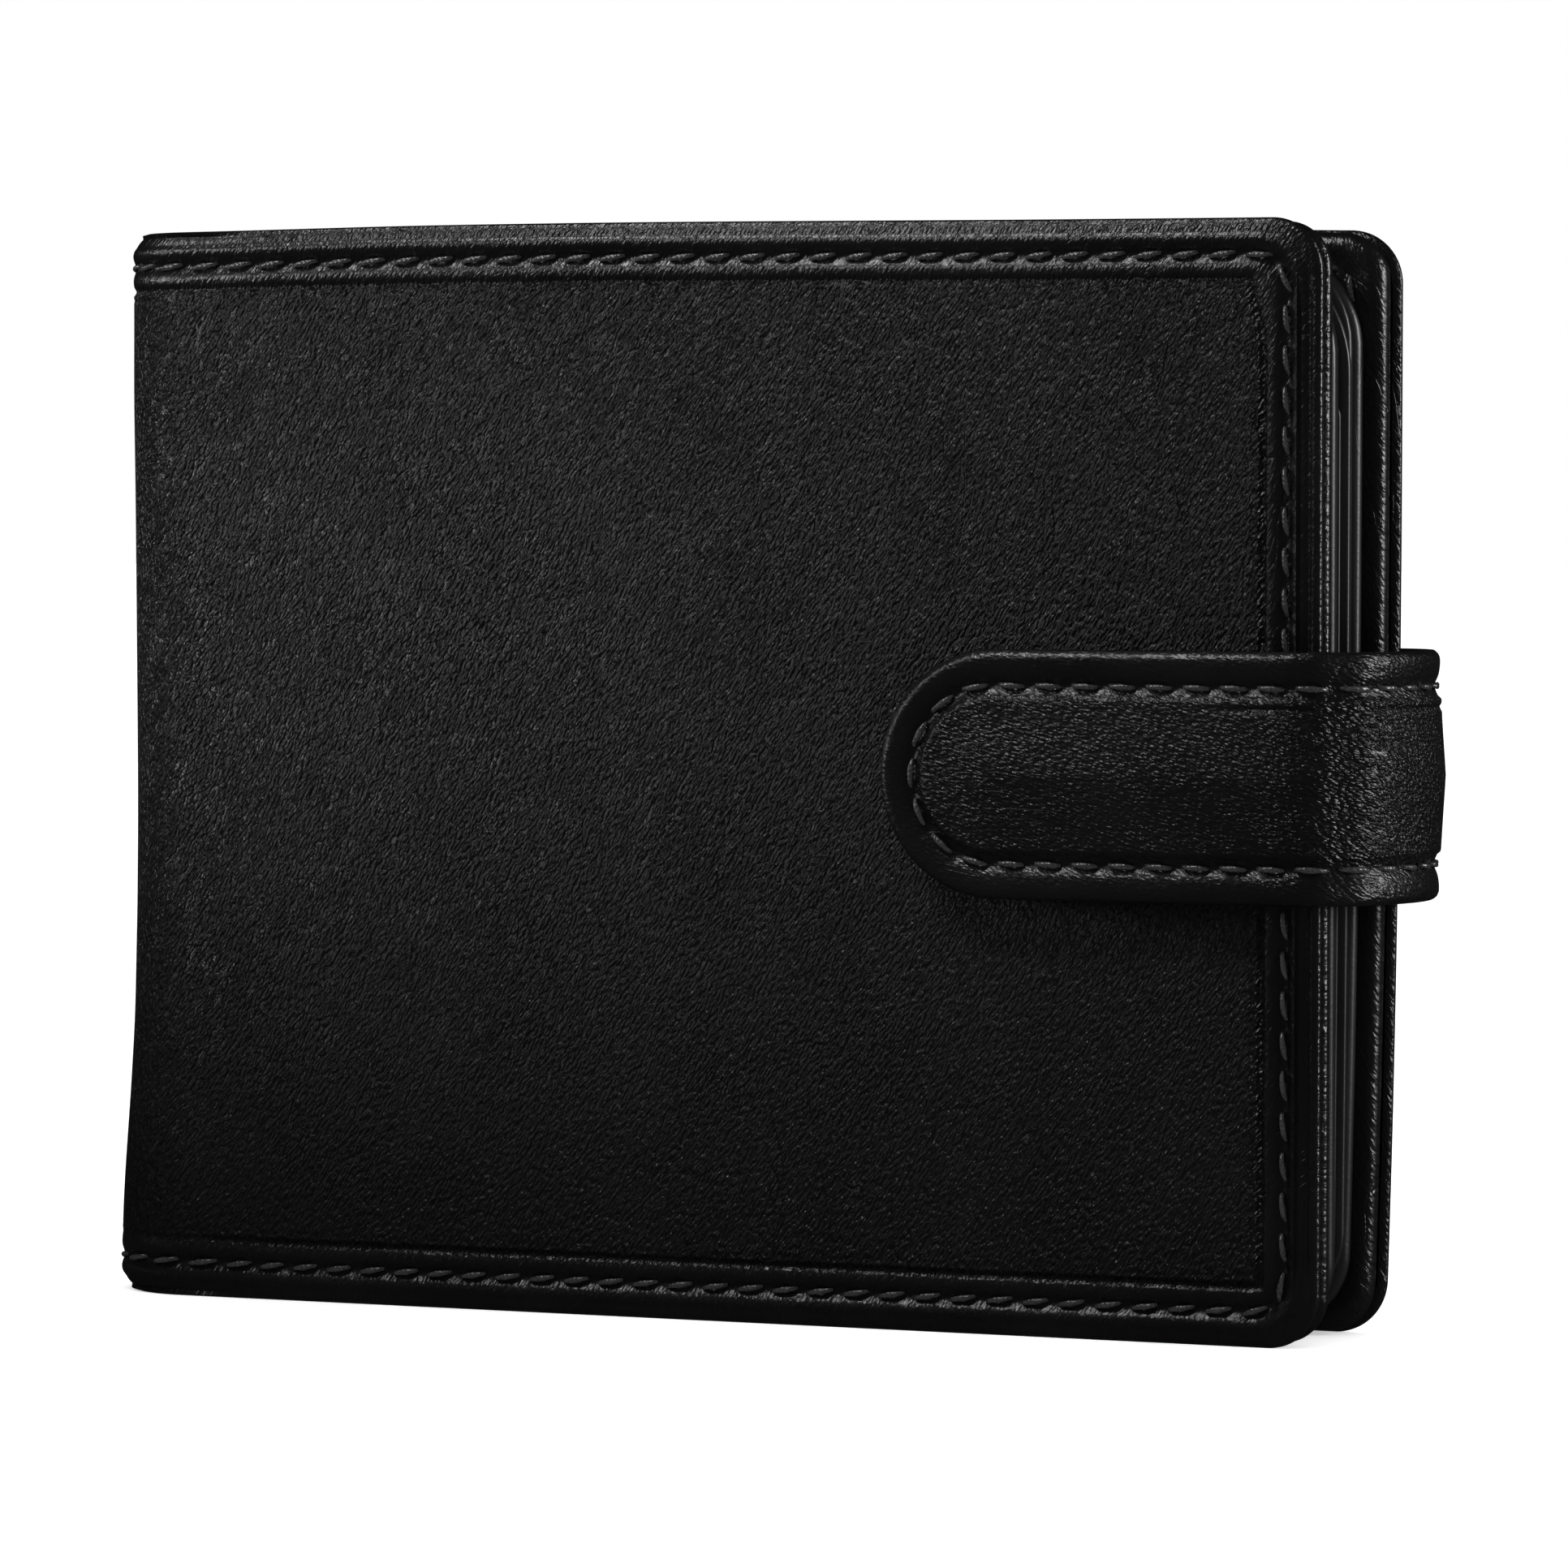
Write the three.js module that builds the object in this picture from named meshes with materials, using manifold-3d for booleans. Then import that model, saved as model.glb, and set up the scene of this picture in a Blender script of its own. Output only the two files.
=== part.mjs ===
// Bifold wallet, closed and standing on its long edge, held shut by a strap with a press stud.
// Millimetres. X runs from the spine (-X) to the free edge (+X), the front cover faces -Y, Z is up.
// The origin is at the bottom centre of the whole object.
import * as THREE from 'three';
import { mergeVertices } from 'three/addons/utils/BufferGeometryUtils.js';
import Module from 'manifold-3d';

const wasm = await Module();
wasm.setup();

// ---- Driving dimensions -------------------------------------------------------------------
const WALLET_WIDTH = 115;
const WALLET_HEIGHT = 93;
const WALLET_THICKNESS = 17;
const COVER_CORNER = 4.5;
const STITCH_INSET = 3;
const THREAD_WIDTH = 0.5;
const THREAD_LIFT = 0.05;
const THREAD_HEIGHT = 0.2;
const BODY_GAP = 0.3;

// Layers of one half, as distances from the mid-plane between the two halves: [inner, outer]
const COVER = [7.2, WALLET_THICKNESS / 2];
const STIFFENER = [6.6, 7.1];
const NOTE_LINING = [6.2, 6.5];
const INNER_PANEL = [4.0, 4.9];
const POCKET_STEP = 0.6;
const POCKET_THICKNESS = 0.5;

// The strap: its width, its reach along each cover, its thickness, bend and rise above mid-height
const STRAP_WIDTH = 20.8;
const STRAP_FRONT_REACH = 38.5;
const STRAP_REAR_REACH = 30;
const STRAP_LIFT = 0.5;
const STRAP_THICKNESS = 2.8;
const STRAP_BEND = 1.4;
const STRAP_MARGIN = 1.5;
const STRAP_RISE = 0.5;

// Layers of the strap, as depths from its inner face: [inner, outer]
const STRAP_LINING = [0, 0.9];
const STRAP_FILLER = [1.0, 1.6];
const STRAP_LEATHER = [1.7, STRAP_THICKNESS];

// Press stud
const SNAP_FROM_TIP = 11.5;
const STUD_RADIUS = 5;
const SOCKET_RADIUS = 4.7;
const CAP_RADIUS = 4.2;
const POST_RADIUS = 1.6;
const SNAP_CLEARANCE = 0.3;

// Centre leaf
const LEAF_BOTTOM = 3;
const LEAF_TOP = WALLET_HEIGHT - 1.5;
const LEAF_TOP_CORNER = 11;
const LEAF_BOTTOM_CORNER = 6;
const LEAF_PANEL_HALF = 0.4;

// ---- Worked-out places --------------------------------------------------------------------
const THREAD_RISE = THREAD_LIFT + THREAD_HEIGHT;
const X_SPINE = -(WALLET_WIDTH + STRAP_BEND + STRAP_THICKNESS) / 2;
const X_FREE = X_SPINE + WALLET_WIDTH;
const X_BEND = X_SPINE + WALLET_THICKNESS / 2;
const Z_STRAP = WALLET_HEIGHT / 2 + STRAP_RISE;
const STRAP_FACE = WALLET_THICKNESS / 2 + STRAP_LIFT;
const Y_CORNER = STRAP_FACE - STRAP_BEND;
const X_TIP = X_FREE - STRAP_FRONT_REACH;
const SNAP_X = X_TIP + SNAP_FROM_TIP;
const FRONT = -1;
const REAR = 1;
const TO_SPINE = 1;
const TO_STRAP = -1;
const ARC_STEPS = 6;
const ROUND_STEPS = 28;

// ---- Materials ----------------------------------------------------------------------------
const material = (color, roughness, metalness = 0) =>
  new THREE.MeshStandardMaterial({ color, roughness, metalness });
const leather = () => material(0x161618, 0.45);
const lining = () => material(0x202022, 0.9);
const board = () => material(0x6b6459, 0.95);
const thread = () => material(0x0c0c0d, 0.4);
const steel = () => material(0xb9bcc0, 0.3, 1);
const film = () => material(0xd8dce0, 0.15);

// ---- Outlines -----------------------------------------------------------------------------
const rad = THREE.MathUtils.degToRad;

function arc(cx, cy, radius, fromDeg, toDeg, steps = ARC_STEPS) {
  const points = [];
  for (let i = 0; i <= steps; i += 1) {
    const a = rad(fromDeg + ((toDeg - fromDeg) * i) / steps);
    points.push(new THREE.Vector2(cx + radius * Math.cos(a), cy + radius * Math.sin(a)));
  }
  return points;
}

const point = (x, y) => new THREE.Vector2(x, y);

// Angle that half of the gap between two bodies takes up on an arc of this radius
const gapAngle = (radius) => THREE.MathUtils.radToDeg(BODY_GAP / 2 / radius);

// Seen from above: a straight layer along one cover, with an eighth of a circle at its bent end
function plateWithBend(cx, cy, side, towards, [inner, outer], endX) {
  const bend = (radius) =>
    arc(cx, cy, radius, side * 90, side * (90 + towards * (45 - gapAngle(radius))));
  return [
    point(endX, cy + side * outer),
    ...bend(outer),
    ...bend(inner).reverse(),
    point(endX, cy + side * inner),
  ];
}

const coverLayer = (side, layer, endX = X_FREE) =>
  plateWithBend(X_BEND, 0, side, TO_SPINE, layer, endX);

const strapRadii = ([inner, outer]) => [STRAP_BEND + inner, STRAP_BEND + outer];

const strapLayer = (side, layer, endX) =>
  plateWithBend(X_FREE, side * Y_CORNER, side, TO_STRAP, strapRadii(layer), endX);

// Seen from above: the quarter of a circle at the back of the spine
function spineLayer([inner, outer]) {
  const bend = (radius) =>
    arc(X_BEND, 0, radius, 135 + gapAngle(radius), 225 - gapAngle(radius), 2 * ARC_STEPS);
  return [...bend(outer), ...bend(inner).reverse()];
}

// Seen from above: the stretch of strap that crosses the open edge, an eighth of a circle at each end
function bridgeLayer(layer) {
  const run = (radius) => [
    ...arc(X_FREE, Y_CORNER, radius, 45 - gapAngle(radius), 0),
    ...arc(X_FREE, -Y_CORNER, radius, 0, gapAngle(radius) - 45),
  ];
  const [inner, outer] = strapRadii(layer);
  return [...run(outer), ...run(inner).reverse()];
}

// Seen from the front: a rectangle with its two free corners rounded
function freeEdgeOutline(left, right, bottom, top, lowRadius, highRadius = lowRadius) {
  return [
    point(left, bottom),
    ...arc(right - lowRadius, bottom + lowRadius, lowRadius, -90, 0),
    ...arc(right - highRadius, top - highRadius, highRadius, 0, 90),
    point(left, top),
  ];
}

function roundedRectangle(left, right, bottom, top, radius) {
  return [
    ...arc(left + radius, bottom + radius, radius, 180, 270),
    ...arc(right - radius, bottom + radius, radius, -90, 0),
    ...arc(right - radius, top - radius, radius, 0, 90),
    ...arc(left + radius, top - radius, radius, 90, 180),
  ];
}

// Seen from the front: the strap's half-round tip, drawn in by an inset
function tipOutline(inset, right = X_FREE + STRAP_THICKNESS * 2) {
  const radius = STRAP_WIDTH / 2 - inset;
  return [
    point(right, Z_STRAP + radius),
    ...arc(X_TIP + STRAP_WIDTH / 2, Z_STRAP, radius, 90, 270, ROUND_STEPS),
    point(right, Z_STRAP - radius),
  ];
}

// Seen from the front: the strap's square end on the rear cover, drawn in by an inset
function baseOutline(inset, right = X_FREE + STRAP_THICKNESS * 2) {
  const left = X_FREE - STRAP_REAR_REACH + inset;
  const half = STRAP_WIDTH / 2 - inset;
  const radius = Math.max(0.5, 2.5 - inset);
  return [
    point(right, Z_STRAP + half),
    ...arc(left + radius, Z_STRAP + half - radius, radius, 90, 180),
    ...arc(left + radius, Z_STRAP - half + radius, radius, 180, 270),
    point(right, Z_STRAP - half),
  ];
}

// ---- Solids -------------------------------------------------------------------------------
function upright(points, bottom, top) {
  const options = { depth: top - bottom, bevelEnabled: false };
  return new THREE.ExtrudeGeometry(new THREE.Shape(points), options).translate(0, 0, bottom);
}

function acrossY(points, from, to) {
  const options = { depth: to - from, bevelEnabled: false };
  const shape = new THREE.ExtrudeGeometry(new THREE.Shape(points), options);
  return shape.rotateX(Math.PI / 2).translate(0, to, 0);
}

// A flat sheet on one half, between two distances from the mid-plane
const sheet = (points, side, [inner, outer]) =>
  acrossY(points, Math.min(side * inner, side * outer), Math.max(side * inner, side * outer));

const cutterThrough = (points) => acrossY(points, -WALLET_THICKNESS, WALLET_THICKNESS);

// A disc on the press stud's axis, between two distances from the mid-plane on the front side
const snapDisc = (radius, inner, outer) =>
  new THREE.CylinderGeometry(radius, radius, outer - inner, ROUND_STEPS)
    .translate(SNAP_X, -(inner + outer) / 2, Z_STRAP);

// A turned piece of the press stud: pairs of radius and distance from the mid-plane
const snapTurned = (profile) =>
  new THREE.LatheGeometry(profile.map(([r, d]) => point(r, d)), ROUND_STEPS)
    .rotateX(Math.PI)
    .translate(SNAP_X, 0, Z_STRAP);

function solid(geometry) {
  const bare = geometry.clone();
  bare.deleteAttribute('normal');
  bare.deleteAttribute('uv');
  const merged = mergeVertices(bare, 1e-4);
  return new wasm.Manifold(new wasm.Mesh({
    numProp: 3,
    vertProperties: new Float32Array(merged.attributes.position.array),
    triVerts: new Uint32Array(merged.index.array),
  }));
}

function geometryOf(body) {
  const { vertProperties, triVerts } = body.getMesh();
  const geometry = new THREE.BufferGeometry();
  geometry.setAttribute('position', new THREE.BufferAttribute(vertProperties, 3));
  geometry.setIndex(new THREE.BufferAttribute(triVerts, 1));
  geometry.computeVertexNormals();
  return geometry;
}

const meet = (a, b) => geometryOf(solid(a).intersect(solid(b)));

const cut = (a, ...tools) =>
  geometryOf(tools.reduce((body, tool) => body.subtract(solid(tool)), solid(a)));

const ring = (outline, inset) =>
  cut(
    cutterThrough(outline(inset - THREAD_WIDTH / 2)),
    cutterThrough(outline(inset + THREAD_WIDTH / 2)),
  );

function piece(name, geometry, look) {
  const mesh = new THREE.Mesh(geometry, look);
  mesh.name = name;
  return mesh;
}

// ---- One half: cover, board, linings, panel, card pockets and thread ------------------------
const LAYER_START = X_SPINE - 1;
const threadOn = (face) => [face + THREAD_LIFT, face + THREAD_RISE];
const coverOutline = (inset) =>
  freeEdgeOutline(
    LAYER_START - inset,
    X_FREE - inset,
    inset,
    WALLET_HEIGHT - inset,
    COVER_CORNER - inset,
  );

function coverPiece(side) {
  return meet(upright(coverLayer(side, COVER), 0, WALLET_HEIGHT), cutterThrough(coverOutline(0)));
}

function coverThread(side) {
  const skin = upright(coverLayer(side, threadOn(COVER[1])), 0, WALLET_HEIGHT);
  const track = ring(
    (inset) =>
      freeEdgeOutline(
        LAYER_START - 5 * inset,
        X_FREE - inset,
        inset,
        WALLET_HEIGHT - inset,
        COVER_CORNER - inset,
      ),
    STITCH_INSET,
  );
  return meet(skin, track);
}

const BOARD_INSET = 4;
const boardOutline = roundedRectangle(
  X_BEND + BOARD_INSET,
  X_FREE - BOARD_INSET,
  BOARD_INSET,
  WALLET_HEIGHT - BOARD_INSET,
  2,
);

const LINING_INSET = 1;
function noteLining(side) {
  const outline = freeEdgeOutline(
    LAYER_START,
    X_FREE - LINING_INSET,
    LINING_INSET,
    WALLET_HEIGHT - LINING_INSET,
    COVER_CORNER,
  );
  const layer = coverLayer(side, NOTE_LINING);
  return meet(upright(layer, 0, WALLET_HEIGHT), cutterThrough(outline));
}

const PANEL_BOTTOM = 0.8;
const PANEL_TOP = WALLET_HEIGHT - 1.5;
function innerPanel(side) {
  const outline = freeEdgeOutline(LAYER_START, X_FREE - 0.4, PANEL_BOTTOM, PANEL_TOP, 6, 10);
  const layer = coverLayer(side, INNER_PANEL);
  return meet(upright(layer, 0, WALLET_HEIGHT), cutterThrough(outline));
}

const POCKET_COUNT = 3;
const POCKET_TOP = 79;
const POCKET_DROP = 11;
const POCKET_LEFT = X_BEND + 6;
function cardPocket(side, index) {
  const outer = INNER_PANEL[0] - 0.1 - index * POCKET_STEP;
  const top = POCKET_TOP - index * POCKET_DROP;
  const outline = [
    point(POCKET_LEFT, 1.6),
    ...arc(X_FREE - 5.4, 5.6, 4, -90, 0),
    point(X_FREE - 1.4, top),
    point(POCKET_LEFT, top),
  ];
  return sheet(outline, side, [outer - POCKET_THICKNESS, outer]);
}

function halfWallet(name, side) {
  const half = new THREE.Group();
  const studded = side === FRONT;
  const hole = snapDisc(POST_RADIUS + SNAP_CLEARANCE, COVER[0] - 1, COVER[1]);
  const recess = snapDisc(STUD_RADIUS + SNAP_CLEARANCE, COVER[1] - 0.55, COVER[1] + 1);
  const boardHole = snapDisc(CAP_RADIUS + SNAP_CLEARANCE * 2, STIFFENER[0] - 1, STIFFENER[1] + 1);
  const cover = coverPiece(side);
  const stiffener = sheet(boardOutline, side, STIFFENER);
  half.add(
    piece(`${name}_cover`, studded ? cut(cover, hole, recess) : cover, leather()),
    piece(`${name}_stiffener`, studded ? cut(stiffener, boardHole) : stiffener, board()),
    piece(`${name}_note_lining`, noteLining(side), lining()),
    piece(`${name}_inner_panel`, innerPanel(side), leather()),
    piece(`${name}_cover_thread`, coverThread(side), thread()),
  );
  for (let i = 0; i < POCKET_COUNT; i += 1) {
    half.add(piece(`${name}_card_pocket_${i + 1}`, cardPocket(side, i), leather()));
  }
  return half;
}

// ---- Spine: the bent back that joins the two halves -----------------------------------------
function spine() {
  const group = new THREE.Group();
  const stitch = (z) =>
    upright(spineLayer(threadOn(COVER[1])), z - THREAD_WIDTH / 2, z + THREAD_WIDTH / 2);
  group.add(
    piece('spine_cover', upright(spineLayer(COVER), 0, WALLET_HEIGHT), leather()),
    piece(
      'spine_note_lining',
      upright(spineLayer(NOTE_LINING), LINING_INSET, WALLET_HEIGHT - LINING_INSET),
      lining(),
    ),
    piece('spine_gusset', upright(spineLayer(INNER_PANEL), PANEL_BOTTOM, PANEL_TOP), leather()),
    piece('spine_thread_bottom', stitch(STITCH_INSET), thread()),
    piece('spine_thread_top', stitch(WALLET_HEIGHT - STITCH_INSET), thread()),
  );
  return group;
}

// ---- Centre leaf: card pockets towards the front half, a window towards the rear half -------
const LEAF_LEFT = X_BEND + 1.3;
const LEAF_RIGHT = X_FREE - 1;
const leafOutline = (inset) =>
  freeEdgeOutline(
    LEAF_LEFT + inset,
    LEAF_RIGHT - inset,
    LEAF_BOTTOM + inset,
    LEAF_TOP - inset,
    LEAF_BOTTOM_CORNER - inset,
    LEAF_TOP_CORNER - inset,
  );

function leafPocket(index) {
  const outer = LEAF_PANEL_HALF + 0.1 + index * POCKET_STEP;
  const top = LEAF_TOP - 13.5 - index * 12;
  const outline = [
    point(LEAF_LEFT + 4.5, LEAF_BOTTOM + 0.5),
    ...arc(LEAF_RIGHT - 6.5, LEAF_BOTTOM + 6.5, LEAF_BOTTOM_CORNER, -90, 0),
    point(LEAF_RIGHT - 0.5, top),
    point(LEAF_LEFT + 4.5, top),
  ];
  return sheet(outline, FRONT, [outer, outer + POCKET_THICKNESS]);
}

function centreLeaf() {
  const group = new THREE.Group();
  const windowOutline = (grow) =>
    roundedRectangle(-36 - grow, 42 + grow, 18 - grow, 78 + grow, 3);
  const frame = cut(
    sheet(leafOutline(0.5), REAR, [0.8, 1.6]),
    sheet(windowOutline(0), REAR, [0, 3]),
  );
  const track = meet(ring(leafOutline, STITCH_INSET), sheet(leafOutline(0.5), REAR, threadOn(1.6)));
  group.add(
    piece('leaf_panel', sheet(leafOutline(0), REAR, [-LEAF_PANEL_HALF, LEAF_PANEL_HALF]), leather()),
    piece('leaf_card_pocket_1', leafPocket(0), leather()),
    piece('leaf_card_pocket_2', leafPocket(1), leather()),
    piece('leaf_window_film', sheet(windowOutline(2), REAR, [0.5, 0.7]), film()),
    piece('leaf_window_frame', frame, leather()),
    piece('leaf_thread', track, thread()),
  );
  return group;
}

// The strip that sews the leaf to the rear half: a foot on the panel and a web towards the leaf
function leafHingeStrip() {
  const left = X_BEND - 0.1;
  const foot = INNER_PANEL[0] - 0.1;
  const section = [
    point(left, 0.9),
    point(left + 0.6, 0.9),
    point(left + 0.6, foot - 0.7),
    point(left + 5.5, foot - 0.7),
    point(left + 5.5, foot),
    point(left, foot),
  ];
  return piece('leaf_hinge_strip', upright(section, LEAF_BOTTOM + 1, LEAF_TOP - 1.5), leather());
}

// ---- Strap: base on the rear cover, bridge over the open edge, flap on the front cover ------
const STRAP_BOTTOM = Z_STRAP - STRAP_WIDTH / 2;
const STRAP_TOP = Z_STRAP + STRAP_WIDTH / 2;
const STRAP_THREAD = threadOn(STRAP_THICKNESS);

const strapSlab = (side, layer, endX = X_TIP - 1) =>
  upright(strapLayer(side, layer, endX), STRAP_BOTTOM - 1, STRAP_TOP + 1);

const fillerOutline = (outline) => cutterThrough(outline(STRAP_MARGIN, X_FREE - STRAP_MARGIN));

function strapBase() {
  const group = new THREE.Group();
  const outline = cutterThrough(baseOutline(0));
  group.add(
    piece('tab_base_leather', meet(strapSlab(REAR, STRAP_LEATHER), outline), leather()),
    piece(
      'tab_base_filler',
      meet(strapSlab(REAR, STRAP_FILLER), fillerOutline(baseOutline)),
      board(),
    ),
    piece('tab_base_lining', meet(strapSlab(REAR, STRAP_LINING), outline), leather()),
    piece(
      'tab_base_thread',
      meet(strapSlab(REAR, STRAP_THREAD), ring(baseOutline, STITCH_INSET)),
      thread(),
    ),
  );
  return group;
}

function strapBridge() {
  const group = new THREE.Group();
  const stitch = (z) =>
    upright(bridgeLayer(STRAP_THREAD), z - THREAD_WIDTH / 2, z + THREAD_WIDTH / 2);
  group.add(
    piece('tab_bridge_leather', upright(bridgeLayer(STRAP_LEATHER), STRAP_BOTTOM, STRAP_TOP), leather()),
    piece('tab_bridge_lining', upright(bridgeLayer(STRAP_LINING), STRAP_BOTTOM, STRAP_TOP), leather()),
    piece('tab_bridge_thread_bottom', stitch(STRAP_BOTTOM + STITCH_INSET), thread()),
    piece('tab_bridge_thread_top', stitch(STRAP_TOP - STITCH_INSET), thread()),
  );
  return group;
}

function strapFlap() {
  const group = new THREE.Group();
  const outline = cutterThrough(tipOutline(0));
  const filler = meet(strapSlab(FRONT, STRAP_FILLER), fillerOutline(tipOutline));
  const liningPiece = meet(strapSlab(FRONT, STRAP_LINING), outline);
  const face = STRAP_FACE;
  const holeInFiller = snapDisc(CAP_RADIUS + SNAP_CLEARANCE, face, face + STRAP_THICKNESS);
  const holeInLining = snapDisc(SOCKET_RADIUS + SNAP_CLEARANCE, face - 1, face + 1);
  group.add(
    piece('tab_flap_leather', meet(strapSlab(FRONT, STRAP_LEATHER), outline), leather()),
    piece('tab_flap_filler', cut(filler, holeInFiller), board()),
    piece('tab_flap_lining', cut(liningPiece, holeInLining), leather()),
    piece(
      'tab_flap_thread',
      meet(strapSlab(FRONT, STRAP_THREAD), ring(tipOutline, STITCH_INSET)),
      thread(),
    ),
  );
  return group;
}

// ---- Press stud: stud and rivet on the front cover, spring socket and cap in the flap -------
const snapStud = () =>
  piece(
    'snap_stud',
    snapTurned([
      [0, 8.05], [STUD_RADIUS, 8.05], [STUD_RADIUS, 8.45], [4.7, 8.6], [2, 8.6],
      [1.8, 8.85], [2.2, 9.1], [2.1, 9.3], [1.7, 9.4], [0, 9.4],
    ]),
    steel(),
  );

const snapPost = () =>
  piece(
    'snap_post',
    snapTurned([[0, 6.65], [4.3, 6.65], [4.3, 7.05], [POST_RADIUS, 7.05], [POST_RADIUS, 7.9], [0, 7.9]]),
    steel(),
  );

const snapSocket = () =>
  piece(
    'snap_socket',
    snapTurned([
      [2.6, 9.05], [SOCKET_RADIUS, 9.05], [SOCKET_RADIUS, 9.85], [1.4, 9.85],
      [1.4, 9.7], [2.6, 9.7], [2.6, 9.05],
    ]),
    steel(),
  );

const snapCap = () =>
  piece(
    'snap_cap',
    snapTurned([[0, 9.7], [1.1, 9.7], [1.1, 10.05], [CAP_RADIUS, 10.05], [CAP_RADIUS, 10.55], [0, 10.55]]),
    steel(),
  );

// ---- The whole wallet -----------------------------------------------------------------------
const rearHalf = halfWallet('rear', REAR);
rearHalf.add(leafHingeStrip(), strapBase());

const frontHalf = halfWallet('front', FRONT);
frontHalf.add(snapStud(), snapPost());

const flap = strapFlap();
flap.add(snapSocket(), snapCap());

const wallet = new THREE.Group();
wallet.add(rearHalf, spine(), frontHalf, centreLeaf(), strapBridge(), flap);

export default wallet;
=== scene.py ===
"""Bifold wallet with a strap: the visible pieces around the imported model, the floor, lights and camera.

Lengths are in mm up to the point where a mesh is made. A layer is described flat, by u (along the
wallet, from the spine's middle line out to the open edge) and v (height), and by its distance from
the wallet's middle plane. The front half lies at negative y, the rear half at positive y.
"""
import math

import bmesh
import bpy
import numpy as np
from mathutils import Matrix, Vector


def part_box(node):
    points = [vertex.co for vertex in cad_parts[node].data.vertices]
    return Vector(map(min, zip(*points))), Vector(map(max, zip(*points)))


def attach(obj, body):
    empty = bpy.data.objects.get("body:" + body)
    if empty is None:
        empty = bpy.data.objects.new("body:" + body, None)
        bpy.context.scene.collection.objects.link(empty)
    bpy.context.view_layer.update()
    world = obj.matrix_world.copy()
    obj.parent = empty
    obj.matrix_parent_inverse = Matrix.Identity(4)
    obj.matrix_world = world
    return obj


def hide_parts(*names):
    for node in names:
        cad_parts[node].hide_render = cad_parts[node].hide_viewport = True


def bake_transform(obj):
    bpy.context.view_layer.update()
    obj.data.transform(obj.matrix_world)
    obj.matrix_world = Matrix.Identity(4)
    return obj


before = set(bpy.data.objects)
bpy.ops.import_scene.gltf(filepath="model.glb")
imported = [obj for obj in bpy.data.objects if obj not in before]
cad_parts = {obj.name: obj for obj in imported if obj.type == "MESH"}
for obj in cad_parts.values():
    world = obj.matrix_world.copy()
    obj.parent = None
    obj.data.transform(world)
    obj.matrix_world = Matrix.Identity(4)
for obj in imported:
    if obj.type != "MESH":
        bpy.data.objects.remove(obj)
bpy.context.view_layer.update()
MM = 0.001


def node_box(name):
    """A CAD node's lowest and highest corners, in mm."""
    low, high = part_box(name)
    return np.array(low) / MM, np.array(high) / MM


# ------------ sizes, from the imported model
COVER_LOW, COVER_HIGH = node_box("front_cover")
HEIGHT = COVER_HIGH[2]
FREE = COVER_HIGH[0]
HALF_THICK = -COVER_LOW[1]
SPINE_X = node_box("spine_cover")[0][0]
BEND_X = SPINE_X + HALF_THICK
ARC_LENGTH = HALF_THICK * math.pi / 2
U_START = BEND_X - ARC_LENGTH
STRAP_LOW, STRAP_HIGH = node_box("tab_flap_leather")
STRAP_Z = (STRAP_LOW[2] + STRAP_HIGH[2]) / 2
STRAP_HALF = (STRAP_HIGH[2] - STRAP_LOW[2]) / 2
TIP_X = STRAP_LOW[0]
BASE_X = node_box("tab_base_leather")[0][0]
STRAP_FACE = -node_box("tab_flap_lining")[1][1]
STRAP_THICK = -STRAP_LOW[1] - STRAP_FACE
STRAP_BEND = 1.4
STRAP_REF = STRAP_BEND + STRAP_THICK / 2
BRIDGE_END = STRAP_FACE - STRAP_BEND
FLAP_START = BRIDGE_END + STRAP_REF * math.pi / 2
COVER_CORNER = 4.5
SPINE_ROUND = 2.8
STITCH_INSET = 3.0
PITCH = 3.3
STITCH_LENGTH = 2.4
THREAD_RADIUS = 0.235
FRONT, REAR = -1, 1
SIDES = ((FRONT, "front"), (REAR, "rear"))
MIDDLE = Vector((0, 0, HEIGHT * MM / 2))
BACK_LAYOUT = 300  # how far the inner face's flat layout lies beside the outer one's


# ------------ number helpers
def smooth(low, high, x):
    """0 at low, 1 at high, with a soft start and end."""
    t = np.clip((x - low) / (high - low), 0, 1)
    return t * t * (3 - 2 * t)


def hump(x, centre, width):
    """1 at the centre, falling off on both sides."""
    return np.exp(-(((x - centre) / width) ** 2))


def wander(a, b, cell, seed):
    """Smooth noise from about -1 to 1, with features about cell mm wide."""
    size = 64
    values = np.random.RandomState(seed).uniform(-1.6, 1.6, (size, size))
    p, q = np.asarray(a) / cell, np.asarray(b) / cell
    i, j = np.floor(p).astype(int), np.floor(q).astype(int)
    f, g = p - i, q - j

    def weights(t):
        return ((1 - t) ** 3 / 6, (3 * t**3 - 6 * t**2 + 4) / 6,
                (-3 * t**3 + 3 * t**2 + 3 * t + 1) / 6, t**3 / 6)

    total = 0
    for m, wm in enumerate(weights(f)):
        for n, wn in enumerate(weights(g)):
            total = total + wm * wn * values[(i + m - 1) % size, (j + n - 1) % size]
    return total


def lines(low, high, fine, coarse, band_low, band_high):
    """Grid lines from low to high, fine within a band of either end and coarse between."""
    parts = []
    a, b = low + band_low, high - band_high
    if band_low:
        parts.append(np.linspace(low, a, max(2, round(band_low / fine) + 1))[:-1])
    parts.append(np.linspace(a, b, max(2, round((b - a) / coarse) + 1)))
    if band_high:
        parts.append(np.linspace(b, high, max(2, round(band_high / fine) + 1))[1:])
    return np.concatenate(parts)


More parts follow.
